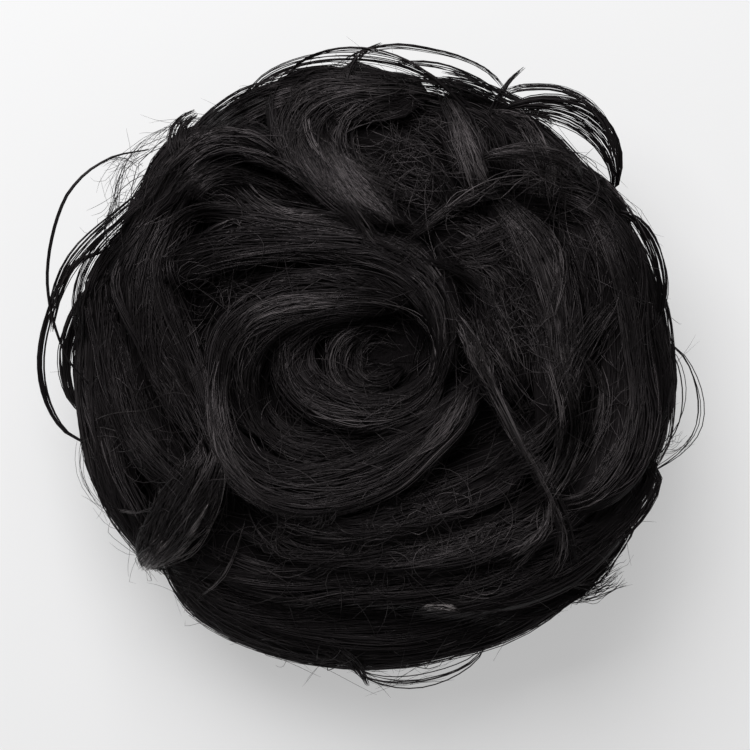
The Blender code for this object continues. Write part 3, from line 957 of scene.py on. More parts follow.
def addBaseCore(piece, look, rng):
    # the hollow dome again, with shallow wound ridges outside and on its roof
    corners, _ = weldedMesh(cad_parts["wound_base"])
    flat = turnedFlat(corners, 5)
    outer = np.vstack([chart.line[::6], chart.line[-1:]])
    reach = np.interp(flat[:, 1], chart.line[::-1, 1], chart.line[::-1, 0])
    thinnest = look["thinnest"]
    inner = flat[(flat[:, 0] < reach - thinnest) & (flat[:, 1] < chart.line[0, 1] - thinnest)]
    inner = inner[np.argsort(-np.arctan2(inner[:, 1], inner[:, 0]))][::-1]
    profile = np.vstack([outer, evenLine(inner, look["innerRows"])[0]])
    segments = look["segments"]
    angles = np.linspace(0, 2 * math.pi, segments, endpoint=False)
    along = travelled(profile)
    slope = unit(np.gradient(profile, axis=0))
    out = np.column_stack([-slope[:, 1], slope[:, 0]])
    wave = np.zeros((len(profile), segments))
    for turns, pitch, size in look["ridgeWaves"]:
        wave += size * np.sin(turns * angles[None] + pitch * along[:, None] + 6 * rng.random())
    ridged = (profile[:, 1] > 1.2 * mm) & (profile[:, 0] > 2 * mm)  # not the flat ring or the axis
    depth = np.where(ridged, look["ridges"], 0.0)[:, None] * (wave / 1.5 - 1.0)
    r = profile[:, :1] + out[:, :1] * depth
    z = profile[:, 1:] + out[:, 1:] * depth
    z[profile[:, 1] < 0.1 * mm] = 0.0
    points = np.stack([r * np.cos(angles), r * np.sin(angles), np.broadcast_to(z, r.shape)], axis=-1)
    runs = np.zeros(points.shape)
    runs[..., 0] = along[:, None]
    runs[..., 1] = angles[None] * 0.06
    faces = [tubeWalls(len(profile), segments)]
    piece.add(points.reshape(-1, 3), faces, look["coreTone"], runs.reshape(-1, 3), 1)


def walkHairs(starts, headings, bends, stations, step):
    # hairs that run over the surface from a start, each in its own heading and with its own bend
    places = [starts]
    here, heading = starts, unit(headings)
    for k in range(stations - 1):
        normal = outward(here)
        heading = unit(heading - normal * np.sum(heading * normal, axis=1, keepdims=True))
        aside = np.cross(normal, heading)
        heading = unit(heading + aside * (bends[:, k] * step)[:, None])
        spot = chart.toChart(here + heading * step[:, None])
        here = chart.toSpace(spot, np.full(len(spot), baseHair["hover"]))
        places.append(here)
    return chart.toChart(np.stack(places, axis=1))


def heldOnBase(spots, edge):
    # hairs that run past the foot of the base stop short of it
    reach = np.linalg.norm(spots, axis=2)
    return spots * (np.minimum(reach, chart.length - edge) / np.maximum(reach, 1e-9))[..., None]


def makeWoundBase(look):
    rng = np.random.default_rng(look["seed"])
    piece = PieceMesh()
    addBaseCore(piece, look, rng)
    count = look["strands"]
    stations = int(look["strandLength"] / look["step"]) + 1
    bearing = rng.random(count) * 2 * math.pi
    crown = look["crownShare"]
    reach = chart.length * (crown + (0.99 - crown) * rng.random(count) ** 0.75)
    spots = np.column_stack([np.cos(bearing), np.sin(bearing)]) * reach[:, None]
    starts = chart.toSpace(spots, np.full(count, look["hover"]))
    tilt = rng.normal(size=count) * look["tilt"]
    around = np.column_stack([-np.sin(bearing), np.cos(bearing), np.zeros(count)])
    down = unit(np.cross(around, outward(starts)))
    headings = around * np.cos(tilt)[:, None] + down * np.sin(tilt)[:, None]
    bends = rng.normal(size=(count, 1)) * look["bend"] * np.ones(stations)
    walked = walkHairs(starts, headings, bends, stations, np.full(count, look["step"]))
    spots = heldOnBase(walked, look["edge"])
    lowest, spread = look["lift"]
    lines = chart.toSpace(spots, lowest + spread * rng.random((count, 1)) + np.zeros(stations))
    lines[..., 2] = np.maximum(lines[..., 2], look["foot"])
    addPlainHairs(piece, rng, lines, look)
    return piece.build("wound_base_hair", [strandMaterial, coreMaterial], standsFor="wound_base")


print("base faces", makeWoundBase(baseHair))

elasticBand = {
    "segments": 132,
    "corners": 20,
    "ribs": 44,
    "ribDepth": 0.22 * mm,
    "roundness": (0.5, 0.35),  # 1 is an ellipse and 0 a box
    "tone": 0.5,
}


def makeBand(look):
    # the ring of elastic, gathered in small ribs all round
    low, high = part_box("elastic_band")
    corners, _ = weldedMesh(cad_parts["elastic_band"])
    r = np.hypot(corners[:, 0], corners[:, 1])
    inner, outer = r.min(), r.max()
    bottom, top = low.z, high.z
    centre, middle = (inner + outer) / 2, (bottom + top) / 2
    turns = np.linspace(0, 2 * math.pi, look["corners"], endpoint=False)
    acrossRound, upRound = look["roundness"]
    ringR = centre + (outer - inner) / 2 * np.sign(np.cos(turns)) * np.abs(np.cos(turns)) ** acrossRound
    ringZ = middle + (top - bottom) / 2 * np.sign(np.sin(turns)) * np.abs(np.sin(turns)) ** upRound
    angles = np.linspace(0, 2 * math.pi, look["segments"], endpoint=False)
    pinch = look["ribDepth"] * (0.5 - 0.5 * np.cos(look["ribs"] * angles))[:, None]
    r = ringR[None] + pinch * np.sign(centre - ringR)[None]
    x, y = r * np.cos(angles)[:, None], r * np.sin(angles)[:, None]
    points = np.stack([x, y, np.broadcast_to(ringZ, r.shape)], axis=-1)
    walls = tubeWalls(len(angles), len(turns), closed=True)
    runs = np.zeros(points.shape)
    runs[..., 0] = turns[None] * 2 * mm
    runs[..., 1] = angles[:, None] * centre
    piece = PieceMesh()
    piece.add(points.reshape(-1, 3), [walls], look["tone"], runs.reshape(-1, 3), 0)
    piece.build("elastic_ring", [elasticMaterial], "elastic_band")


makeBand(elasticBand)


def hairTree(names):
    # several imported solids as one, to cast rays at
    corners, triangles, total = [], [], 0
    for name in names:
        some, faces = weldedMesh(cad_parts[name])
        corners.append(some)
        triangles.append(faces + total)
        total += len(some)
    return BVHTree.FromPolygons([Vector(p) for p in np.vstack(corners)], np.vstack(triangles).tolist())


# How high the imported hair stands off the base, on a grid of the chart
class HairField:
    def __init__(self, names, cell=1.25 * mm):
        tree = hairTree(names)
        self.cell, self.half = cell, chart.length + 6 * cell
        side = int(2 * self.half / cell) + 1
        ticks = np.arange(side) * cell - self.half
        spots = np.stack(np.meshgrid(ticks, ticks, indexing="ij"), axis=-1)
        reach = np.linalg.norm(spots, axis=2)
        spots = heldOnBase(spots, 0.0)
        far = 30 * mm
        top = chart.toSpace(spots, np.full(reach.shape, far))
        foot = chart.toSpace(spots, np.zeros(reach.shape))
        aim = unit(foot - top)
        self.height = np.zeros(reach.shape)
        for i in range(side):
            for j in range(side):
                if reach[i, j] < chart.length + 2 * cell:
                    hit = tree.ray_cast(Vector(top[i, j]), Vector(aim[i, j]), far)
                    self.height[i, j] = far - hit[3] if hit[0] is not None else 0.0

    def at(self, spots):
        place = np.clip((spots + self.half) / self.cell, 0, len(self.height) - 1.001)
        i, j = place[..., 0].astype(int), place[..., 1].astype(int)
        u, v = place[..., 0] - i, place[..., 1] - j
        return betweenCells(self.height, i, j, u, v)


def taut(height, passes):
    # a hair spans the hollows that it crosses
    raised = height.copy()
    for _ in range(passes):
        raised[:, 1:-1] = np.maximum(height[:, 1:-1], (raised[:, :-2] + raised[:, 2:]) / 2)
    return raised


print("stray hairs")
field = HairField(["wound_base", *routes])
strayHair = {
    "bendSpread": (0.4, 1.2),
    "stepSpread": (0.45, 1.0),
    "leastLift": 0.25,
    "riseSpread": 1.6,
    "riseCurve": 1.8,
    "radiusSpread": 0.7,
    "tip": 0.35,
    "tone": 0.05,
    "rootSink": 1.2 * mm,
    "endSink": 0.9 * mm,
    "endsDown": 0.6,
    "edge": 1.2 * mm,
    "foot": 0.3 * mm,
}
overHair = {
    **strayHair,
    "seed": 21,
    "count": 270,
    "step": 2.3 * mm,
    "stations": 13,
    "turnAside": 0.34,
    "bend": 42.0,
    "lift": 0.5 * mm,
    "rise": 0.0,  # these come back to the hair, and fly-away ones rise
    "radius": 0.10 * mm,
}
flyHair = {
    **strayHair,
    "seed": 22,
    "count": 560,
    "step": 1.9 * mm,
    "stations": 10,
    "turnAside": 0.6,
    "bend": 60.0,
    "lift": 0.4 * mm,
    "rise": 8.0 * mm,
    "radius": 0.045 * mm,
}


def hairStarts(rng, count, names, aside):
    # places on the tresses and headings near the way that their hair runs
    lengths = np.array([routes[name].length for name in names])
    chosen = rng.choice(len(names), count, p=lengths / sum(lengths))
    starts, headings = np.zeros((count, 3)), np.zeros((count, 3))
    for k, name in enumerate(names):
        mine = np.flatnonzero(chosen == k)
        route = routes[name]
        share = rng.random(len(mine))
        place, _, _, _, _ = route.sample(share, rng.random(len(mine)) * 1.8 - 0.9)
        row = np.clip((share * (len(route.run) - 1)).astype(int), 0, len(route.run) - 1)
        way = route.run[row] * np.where(rng.random(len(mine)) < 0.5, 1, -1)[:, None]
        turn = rng.normal(size=len(mine)) * aside
        across = np.cross(outward(place), way)
        starts[mine] = place
        headings[mine] = way * np.cos(turn)[:, None] + across * np.sin(turn)[:, None]
    return starts, headings


def strayHairs(name, look, names):
    rng = np.random.default_rng(look["seed"])
    count, stations = look["count"], look["stations"]
    starts, headings = hairStarts(rng, count, names, look["turnAside"])
    share = np.linspace(0, 1, stations)
    least, more = look["bendSpread"]
    bends = rng.normal(size=(count, 1)) * look["bend"] * (least + more * share[None] * rng.random((count, 1)))
    least, more = look["stepSpread"]
    step = look["step"] * (least + more * rng.random(count))
    spots = heldOnBase(walkHairs(starts, headings, bends, stations, step), look["edge"])
    height = field.at(spots) + look["lift"] * (look["leastLift"] + rng.random((count, 1)))
    height[:, 0] -= look["rootSink"]
    if not look["rise"]:
        height[:, -1] -= look["endSink"] * (rng.random(count) < look["endsDown"])
    height = taut(height, 4)
    if look["rise"]:
        climb = look["rise"] * rng.random((count, 1)) ** look["riseSpread"]
        height += climb * share[None] ** look["riseCurve"]
    lines = chart.toSpace(spots, height)
    lines[..., 2] = np.maximum(lines[..., 2], look["foot"])
    piece = PieceMesh()
    addPlainHairs(piece, rng, lines, look)
    print(name, piece.build(name, [strandMaterial]))


footNames = ("low_front", "low_right", "low_back", "low_left")
outerNames = ("top_back", "right_tail", "left_mid", "right_outer", "left_arc", "low_band", "flare", "hook")
crownNames = [name for name in routes if not name.startswith(footNames)]
rimNames = [name for name in routes if name.startswith(footNames + outerNames) or "rim" in name]
strayHairs("crossing_hairs", overHair, crownNames)
strayHairs("fly_away_hairs", flyHair, rimNames)

# Hairs that follow the picture. Each ribbon has the places of its middle line there and its widths at the
# start, the middle and the end, all in picture steps, and then what differs from the drawn look
drawnLook = {
    "perMm": 8.0,
    "tone": 0.046,
    "radius": 0.10 * mm,
    "radiusSpread": 0.5,
    "tip": 0.3,
    "stray": 5.5,
    "lockWidth": 1.15 * mm,
    "lockTone": 1.05,
    "lockLift": 0.65 * mm,
    "lockWave": 0.25,
    "lockSpread": 0.27,
    "mixWave": 0.05,
    "lockPace": 0.7,
    "mixPace": 0.6,
    "liftPace": 0.8,
    "hairPace": 1.0,
    "step": 3.4 * mm,
    "patchSpread": 0.0015,
    "rest": 0.35 * mm,
    "lift": 0.7 * mm,
    "liftWave": 0.25 * mm,
    "leastLift": 0.05 * mm,
    "cut": 0.35,
    "rootSink": 0.8 * mm,
    "tipRise": 0.0,
    "outside": 0.2,
    "finish": 0,
}
# a paler tone on hair where it catches the light: a painted highlight
paintedHighlight = {"tone": 0.18}
# a much paler tone, even across its locks and raised a little, on the brightest streaks where hair catches
# the light: a painted highlight
strongPaintedHighlight = {"tone": 0.46, "lockTone": 0.5, "rest": 0.8 * mm, "lockLift": 0.3 * mm}
# a darker tone on hair in gaps, hollows and on the shaded lower side: painted shade
paintedShade = {"tone": 0.022}
loose = {"perMm": 5.5, "stray": 11.0}
edge = {"outside": 1.0, "tone": 0.02, "radius": 0.10 * mm, "stray": 2.0, "lift": 0.5 * mm}
fuzz = {"outside": 1.0, "tone": 0.02, "radius": 0.05 * mm, "stray": 5.0, "perMm": 2.2, "cut": 0.6}
edgeArc = {**edge, "cut": 0.08, "lift": 0.8 * mm}
# lone pale hairs where single hairs catch the light: a painted glint
paintedGlintHair = {"perMm": 6.0, "stray": 1.5, "radius": 0.10 * mm, "tone": 0.35, "cut": 0.1}
# A ribbon's tone is raised where its hair catches the light and lowered where it lies in shade: partly tone
# that differs from lock to lock, partly painted highlight and painted shade
ribbons = {
    "upper_left_hairs": [
        ("196,150 225,120 262,98 305,84 350,76 400,74 440,84", (30, 34, 24), dict(tone=0.075)),
        ("160,198 184,172 214,152 246,150 276,166", (26, 44, 30), dict(tone=0.11)),
        ("180,196 206,172 238,164 272,172 304,190", (26, 34, 28), dict(tone=0.09, rest=2.2 * mm, stray=8.0)),
        ("160,176 190,146 219,134 249,138 268,152", (10, 14, 10), paintedHighlight),
        ("234,181 256,204 287,219 324,222 366,228", (26, 30, 16), paintedHighlight),
        ("172,168 151,201 129,240 108,285 97,335 97,385 108,430", (18, 32, 30), {}),
        ("192,170 165,212 148,248 138,285 136,325 142,365 156,405", (26, 38, 30), {}),
        ("172,226 158,262 166,300 184,345 198,385 206,420", (20, 34, 20), {}),
        ("158,240 195,214 238,214 290,222 345,230 402,258", (20, 26, 20), dict(tone=0.03)),
        ("160,272 196,248 250,240 308,240 364,242 412,262", (22, 26, 20), dict(tone=0.03)),
        ("172,290 212,264 268,254 324,254 381,270 412,290", (20, 20, 16), {}),
        ("205,300 240,284 290,276 340,280 380,292", (14, 18, 14), dict(paintedShade, perMm=5.0)),
    ],
    "swirl_hairs": [
        ("412,306 372,300 328,300 286,304 250,316 226,340 218,376 220,412 232,446 262,480", (16, 26, 20),
         paintedHighlight),
        ("344,300 286,303 252,316 234,336", (12, 18, 12), strongPaintedHighlight),
        ("396,314 350,314 312,322 282,338 262,362 258,392 270,420 300,440 350,446 400,438", (14, 20, 16), {}),
        ("386,322 350,324 318,332 296,348 284,368 284,388", (10, 16, 12), paintedShade),
        ("252,352 246,380 252,412 272,440 310,456 350,456", (12, 16, 14), paintedShade),
        ("290,386 308,400 340,412 376,414 404,406", (6, 16, 8), dict(tone=0.22)),
        ("318,346 314,372 328,394 358,404 396,400 424,384 436,360", (6, 10, 8), dict(perMm=6.0)),
        ("408,336 374,324 344,332 328,354 332,382 358,396 390,394 416,378", (6, 9, 7),
         dict(perMm=6.0, step=2.4 * mm)),
        ("396,342 370,336 350,346 342,366 354,384 382,388 406,376 412,358", (5, 8, 6),
         dict(perMm=5.5, step=2.2 * mm)),
        ("390,350 370,346 356,356 356,372 370,382 390,376 398,362", (4, 7, 5),
         dict(perMm=5.0, step=1.9 * mm)),
        ("382,355 370,356 366,366 374,373 384,370", (3, 5, 4), dict(paintedShade, perMm=4.0, step=1.5 * mm)),
        ("404,336 372,327 346,338 334,360 342,382 366,393", (6, 12, 8),
         dict(strongPaintedHighlight, perMm=3.5, step=2.2 * mm)),
        ("400,350 380,342 362,351 361,369 375,380 394,374", (4, 9, 6),
         dict(strongPaintedHighlight, perMm=3.5, step=1.9 * mm)),
        ("330,300 384,300 424,322 438,356 430,388", (10, 14, 12), dict(strongPaintedHighlight, perMm=2.0)),
        ("300,402 330,414 368,420 410,412", (8, 14, 10), dict(strongPaintedHighlight, perMm=2.5)),
        ("222,352 214,390 216,424 228,458 246,484", (8, 16, 12), dict(strongPaintedHighlight, perMm=3.0)),
        ("326,256 375,258 412,276 436,304 443,340 438,372 424,396", (20, 24, 18), {}),
        ("404,266 426,286 440,316 444,350", (8, 12, 8), strongPaintedHighlight),
        ("330,274 372,276 404,296 422,322 424,350", (10, 16, 10), paintedShade),
        ("214,400 216,436 232,468 262,496 305,508 350,500 395,482 430,452 462,420 474,388", (16, 26, 18),
         paintedHighlight),
        ("214,420 222,450 240,478 268,500", (8, 14, 10), strongPaintedHighlight),
        ("402,462 430,442 452,416 468,390", (12, 16, 10), strongPaintedHighlight),
        ("262,478 302,474 350,462 396,438 430,418 446,392", (16, 24, 16), {}),
        ("350,432 388,424 424,408 446,376", (14, 18, 12), {}),
        ("230,470 262,494 300,500 350,490", (8, 10, 8), paintedShade),
    ],
    "crown_hairs": [
        ("400,94 358,92 318,104 300,134 312,168 340,200 378,226", (14, 40, 24), dict(tone=0.045)),
        ("318,130 342,170 374,204 402,228", (26, 54, 72), dict(tone=0.13, lockTone=1.2, stray=5.0)),
        ("330,150 358,188 394,222", (14, 46, 70), dict(strongPaintedHighlight, perMm=5.0, lockTone=1.0, stray=6.0)),
        ("404,100 372,106 348,124 348,152 364,180 386,206 400,224", (10, 22, 18), paintedHighlight),
        ("392,84 340,84 300,98 283,132 294,166", (12, 16, 12), dict(tone=0.12)),
        ("360,80 404,76 440,86 470,100 496,106", (20, 24, 18), dict(tone=0.1)),
        ("396,86 430,88 462,98 490,112 512,130", (24, 26, 22), dict(outside=1.0, tone=0.035)),
        ("412,80 444,84 474,94 502,108 526,128", (12, 16, 12), dict(edgeArc, perMm=8.0, tone=0.035)),
        ("442,92 457,120 469,152 486,196", (14, 20, 26), dict(tone=0.16, perMm=7.0, lockTone=1.0)),
        ("452,108 466,150 482,192", (10, 26, 30), dict(strongPaintedHighlight, perMm=5.0, lockTone=0.9, rest=1.0 * mm)),
        ("504,120 518,118 530,132 543,156 553,188", (8, 18, 16), dict(strongPaintedHighlight, perMm=8.0, rest=1.4 * mm)),
        ("505,198 545,205 592,222", (18, 26, 20), paintedShade),
        ("470,112 484,140 496,170 506,190", (14, 22, 20), dict(paintedShade, perMm=5.0)),
        ("498,96 528,98 562,130 586,168 598,200", (20, 36, 26), {}),
        ("402,240 430,222 465,200 503,188 548,190 580,200 604,216", (8, 15, 20),
         dict(perMm=8.0, tone=0.13, stray=6.0)),
    ],
    "right_hairs": [
        ("440,256 480,250 512,234 532,210", (18, 34, 24), loose),
        ("412,258 446,266 476,284 500,304 520,332", (8, 14, 20), dict(perMm=7.0, tone=0.045)),
        ("450,220 480,232 500,256 512,290", (24, 36, 24), loose),
        ("498,204 528,238 545,276 557,316 562,356 572,396", (24, 42, 32), dict(paintedHighlight, perMm=9.5)),
        ("592,205 613,249 628,294 638,343 642,395 634,440", (20, 28, 24), dict(tone=0.1)),
        ("618,180 646,222 660,264 666,306 668,350 662,400 650,450", (12, 20, 16), dict(tone=0.14)),
        ("616,300 588,340 566,378 556,414", (20, 32, 24), dict(loose, tone=0.045)),
        ("566,214 584,250 596,290 600,330", (26, 30, 30), dict(paintedShade, perMm=5.0)),
        ("500,206 512,226 522,250 530,284", (22, 28, 20), dict(loose, tone=0.12, perMm=4.0)),
        ("540,224 556,250 560,284 552,318", (10, 14, 10), dict(strongPaintedHighlight, perMm=5.0)),
        ("452,258 486,262 512,284 528,318", (12, 16, 14), dict(loose, tone=0.1)),
        ("590,318 572,352 556,392", (10, 18, 12), dict(loose, tone=0.12)),
        ("620,300 600,330 580,372", (14, 20, 14), dict(loose, tone=0.06)),
        ("470,312 482,350 500,388 524,424", (18, 32, 26), dict(loose, tone=0.12)),
        ("490,268 506,310 522,350 534,394", (30, 42, 30), dict(loose, tone=0.045, perMm=4.5)),
        ("548,350 563,388 569,426 560,466 540,500", (24, 30, 24), dict(tone=0.11)),
        ("580,350 596,384 594,418 578,456 556,486", (22, 28, 22), dict(tone=0.1)),
        ("562,505 592,495 614,470 630,440 638,405", (16, 26, 16), paintedHighlight),
        ("565,538 596,530 616,508 638,478 652,450", (14, 24, 18), {}),
        ("482,478 520,458 548,436 566,410", (22, 32, 24), dict(loose, tone=0.11)),
    ],
    "front_hairs": [
        ("464,330 484,376 508,424 532,468 551,505 561,540", (18, 11, 9),
         dict(tone=0.2, perMm=5.5, stray=2.0, lockTone=1.0)),
        ("456,316 474,344 494,388", (14, 22, 8), dict(strongPaintedHighlight, perMm=7.0)),
        ("549,500 546,526 530,546 508,562", (6, 12, 24), dict(strongPaintedHighlight, perMm=4.5, tipRise=1.2 * mm)),
        ("554,504 562,534 560,558 548,574", (5, 9, 14), dict(strongPaintedHighlight, perMm=4.5, tipRise=1.2 * mm)),
        ("345,528 407,532 465,524 522,500 556,476", (18, 26, 18), {}),
        ("256,516 290,540 330,548 382,540 430,522", (18, 28, 20), {}),
        ("302,516 340,528 392,528 440,510 480,484", (14, 22, 18), {}),
        ("262,506 300,520 350,520 400,506 440,484", (10, 14, 12), paintedShade),
        ("260,560 320,562 390,558 450,548 510,524", (20, 26, 18), {}),
        ("168,563 219,573 287,582 345,577 420,572 480,560 540,526", (12, 20, 16), {}),
        ("173,580 230,600 290,608 345,600 420,594 482,582 530,562", (14, 24, 16), dict(tone=0.04)),
        ("188,600 240,616 300,624 360,622 430,616 500,600 560,572", (16, 26, 18), paintedShade),
        # a small pale fleck of hair in the pale grey finish: a painted highlight
        ("418,612 432,608 448,609 461,613", (4, 13, 5),
         dict(tone=0.6, lockTone=0.1, cut=0.1, stray=0.5, finish=1)),
        ("194,600 240,620 292,636 345,646 400,648 460,636 518,615 566,588 606,550", (12, 26, 18), paintedShade),
        ("200,584 262,610 330,624 400,627 470,616 528,596 578,562", (18, 28, 20), paintedShade),
        ("146,568 172,534 196,496 214,448", (10, 50, 34), dict(tone=0.24, perMm=8.0, lockTone=1.0)),
        # the flare's tip and its brush in the pale grey finish: a painted highlight
        ("142,570 150,559 164,541", (9, 17, 22),
         dict(tone=0.45, lockTone=0.4, perMm=8.0, cut=0.3, rootSink=0.0, finish=1)),
        ("148,571 184,550 212,512 222,470", (6, 28, 14),
         dict(tone=0.16, perMm=5.0, tipRise=0.8 * mm, rest=0.8 * mm, rootSink=0.0, finish=1)),
        ("172,528 198,506 216,478 224,450", (8, 18, 12), dict(paintedHighlight, stray=5.0)),
        ("145,560 156,520 178,482 204,448", (6, 12, 14), paintedHighlight),
        ("86,350 90,390 102,430 118,480 142,528", (14, 26, 26), {}),
        ("110,352 117,390 128,426 152,456 180,482", (24, 30, 24), {}),
        ("150,352 172,390 192,426 206,452", (26, 32, 20), {}),
        ("300,536 322,520 330,500", (8, 14, 18), dict(loose, tone=0.16)),
        ("350,560 366,540 372,522", (10, 12, 20), dict(loose, tone=0.16)),
        ("418,566 424,548 440,534", (10, 12, 16), dict(loose, tone=0.16)),
        ("474,552 484,534 502,520", (8, 12, 14), dict(loose, tone=0.16)),
        ("262,520 300,534 344,538 388,530", (6, 10, 8), dict(loose, tone=0.2)),
        ("250,572 300,574 340,560 362,540", (6, 10, 8), dict(loose, tone=0.2)),
        ("105,501 124,511 147,510 160,496 158,480", (3, 3, 3), paintedGlintHair),
        ("245,500 253,522 266,540 283,556", (2, 3, 2), dict(paintedGlintHair, perMm=9.0)),
        ("246,518 236,550 219,580 191,604", (2, 3, 2), paintedGlintHair),
    ],
    "edge_hairs": [
        ("322,640 344,656 358,668 368,686", (24, 14, 2), edge),
        ("346,662 370,680 392,686 455,676", (10, 12, 6), fuzz),
        ("346,100 348,78 352,66 363,52 382,43", (10, 6, 2), dict(edge, radius=0.13 * mm)),
        ("440,80 466,85 494,97 522,110 552,128", (18, 22, 16), dict(edgeArc, perMm=9.0)),
        ("498,100 512,89 534,86 560,88 584,99 602,118 612,142 616,172", (6, 10, 8), dict(edgeArc, perMm=8.0)),
        ("340,63 366,51 396,46 430,50 462,58 489,72 506,92", (3, 6, 4),
         dict(edgeArc, perMm=9.0, lockWidth=0.8 * mm)),
        ("392,62 424,63 454,70 482,83 502,98", (4, 6, 5), dict(edgeArc, perMm=9.0, lockWidth=0.8 * mm)),
        ("184,150 200,130 221,112 248,97 280,86 314,80", (14, 22, 14), dict(edgeArc, perMm=11.0)),
        ("486,124 498,100 507,86 514,76 525,67", (10, 5, 2), dict(edge, radius=0.13 * mm)),
        ("184,160 177,140 182,124 197,113", (22, 18, 8), dict(edge, perMm=11.0)),
        ("590,540 614,522 634,500 648,480 644,464", (34, 34, 20), dict(edgeArc, perMm=12.0, stray=1.0)),
        ("602,546 626,526 645,503 656,482 650,466", (18, 20, 12), dict(edgeArc, perMm=14.0, stray=1.0)),
        ("148,190 118,216 92,240 70,267 57,298 50,332", (10, 16, 8), dict(edgeArc, perMm=8.0)),
        ("156,200 128,228 104,254 88,282 82,312 84,350", (22, 32, 14), dict(edgeArc, perMm=7.0)),
        ("596,180 626,214 648,256 660,306 664,356", (14, 18, 14), dict(edgeArc, perMm=3.0)),
        ("652,270 664,310 670,350 671,400 667,440 652,470", (8, 12, 10), dict(edgeArc, perMm=5.0)),
        ("190,152 222,118 262,90 305,74 345,68", (10, 14, 10), dict(edgeArc, perMm=6.0)),
        ("552,588 580,592 602,586 622,572", (24, 22, 28),
         dict(fuzz, perMm=9.0, stray=8.0, radius=0.08 * mm, tone=0.05)),
        ("566,560 590,568 612,562 632,544", (18, 18, 24), dict(fuzz, perMm=3.0)),
        ("650,440 664,446 676,444 686,434", (20, 22, 30), dict(fuzz, perMm=2.2)),
        ("141,172 130,164 116,164 104,170", (14, 14, 18), dict(fuzz, perMm=3.0)),
        ("604,176 622,196 640,214 652,232", (10, 12, 12), fuzz),
        ("84,430 82,470 96,500 120,520", (8, 14, 8), dict(fuzz, perMm=3.0)),
    ],
}


def smoothLine(places, count):
    # a Catmull-Rom line through places, at even steps
    points = np.array([[float(value) for value in place.split(",")] for place in places.split()])
    ends = np.vstack([2 * points[0] - points[1], points, 2 * points[-1] - points[-2]])
    fine = []
    for a, b, c, d in zip(ends[:-3], ends[1:-2], ends[2:-1], ends[3:]):
        t = np.linspace(0, 1, 16, endpoint=False)[:, None]
        bend = (2 * a - 5 * b + 4 * c - d) * t**2 + (3 * b - a - 3 * c + d) * t**3
        fine.append(b + 0.5 * ((c - a) * t + bend))
    return evenLine(np.vstack([*fine, points[-1:]]), count)[0]


reachBack = np.arange(0.985, 0.86, -0.015)  # steps from the outline towards the middle of the picture


def hairDepths(tree, places, outside):
    # how far from the camera the hair lies, and past the outline as far as the hair just inside it
    rays = picture.rays(places)
    eye = Vector(picture.eye)
    depth = np.full(places.shape[:2], np.nan)
    missed = np.zeros(len(places))
    for i in range(places.shape[0]):
        for j in range(places.shape[1]):
            hit = tree.ray_cast(eye, Vector(rays[i, j]), 2.0)
            missed[i] += hit[0] is None
            for inwards in reachBack if hit[0] is None and outside == 1.0 else ():
                ray = picture.rays(picture.middle + (places[i, j] - picture.middle) * inwards)
                hit = tree.ray_cast(eye, Vector(ray), 2.0)
                if hit[0] is not None:
                    break
            if hit[0] is not None:
                depth[i, j] = hit[3]
        known = np.flatnonzero(~np.isnan(depth[i]))
        if len(known):
            depth[i] = np.interp(np.arange(places.shape[1]), known, depth[i, known])
    # a hair that meets too little is left out
    met = ~np.isnan(depth[:, 0]) & (missed <= outside * places.shape[1])
    return rays, depth, met


def drawRibbon(piece, rng, line, widths, look, tree):
    middle = smoothLine(line, ribbonRows)
    length = np.linalg.norm(np.diff(middle, axis=0), axis=1).sum() * picture.scale
    stations = max(6, int(length / look["step"]) + 1)
    span = np.interp(np.linspace(0, 1, ribbonRows), (0, 0.5, 1), widths)
    run = unit(np.gradient(middle, axis=0))
    aside = np.column_stack([-run[:, 1], run[:, 0]]) * span[:, None]
    count = max(2, int(look["perMm"] * max(widths) * picture.scale / mm))
    locks = max(1, round(max(widths) * picture.scale / look["lockWidth"]))
    lock = rng.integers(0, locks, count)
    share = np.linspace(0, 1, stations)
    starts = rng.random((count, 1)) ** 2 * look["cut"]
    ends = 1 - rng.random((count, 1)) ** 2 * look["cut"]
    row = (starts + (ends - starts) * share) * (ribbonRows - 1)
    lockWave = waves(rng, locks, share, look["lockPace"])[lock]
    mix = (lock + 0.5)[:, None] / locks - 0.5 + look["lockWave"] / locks * lockWave
    mix = mix + look["lockSpread"] / locks * rng.normal(size=(count, 1))
    mix = mix + look["mixWave"] * waves(rng, count, share, look["mixPace"])
    places = betweenRows(middle, row) + betweenRows(aside, row) * mix[..., None]
    for k in range(2):
        places[..., k] += look["stray"] * 0.5 * waves(rng, count, share, look["lockPace"])
    rays, depth, met = hairDepths(tree, places, look["outside"])
    lockLift = look["lockLift"] * waves(rng, locks, share, look["liftPace"])[lock]
    lift = look["rest"] + look["lift"] * rng.random((count, 1)) ** 2 + lockLift
    lift += look["liftWave"] * waves(rng, count, share, look["hairPace"]) + look["tipRise"] * share**2
    depth = -taut(-depth, 3) - np.maximum(lift, look["leastLift"])
    depth[:, 0] += look["rootSink"]
    lines = picture.eye + rays * depth[..., None]
    addLockHairs(piece, rng, lines, look, locks, lock, starts[:, 0] * length, met)


def drawHairs(name, group, tree):
    rng = np.random.default_rng(seedOf(name))
    piece = PieceMesh()
    for line, widths, changes in group:
        drawRibbon(piece, rng, line, widths, {**drawnLook, **changes}, tree)
    print(name, piece.build(name, [strandMaterial, paintedHighlightMaterial]))


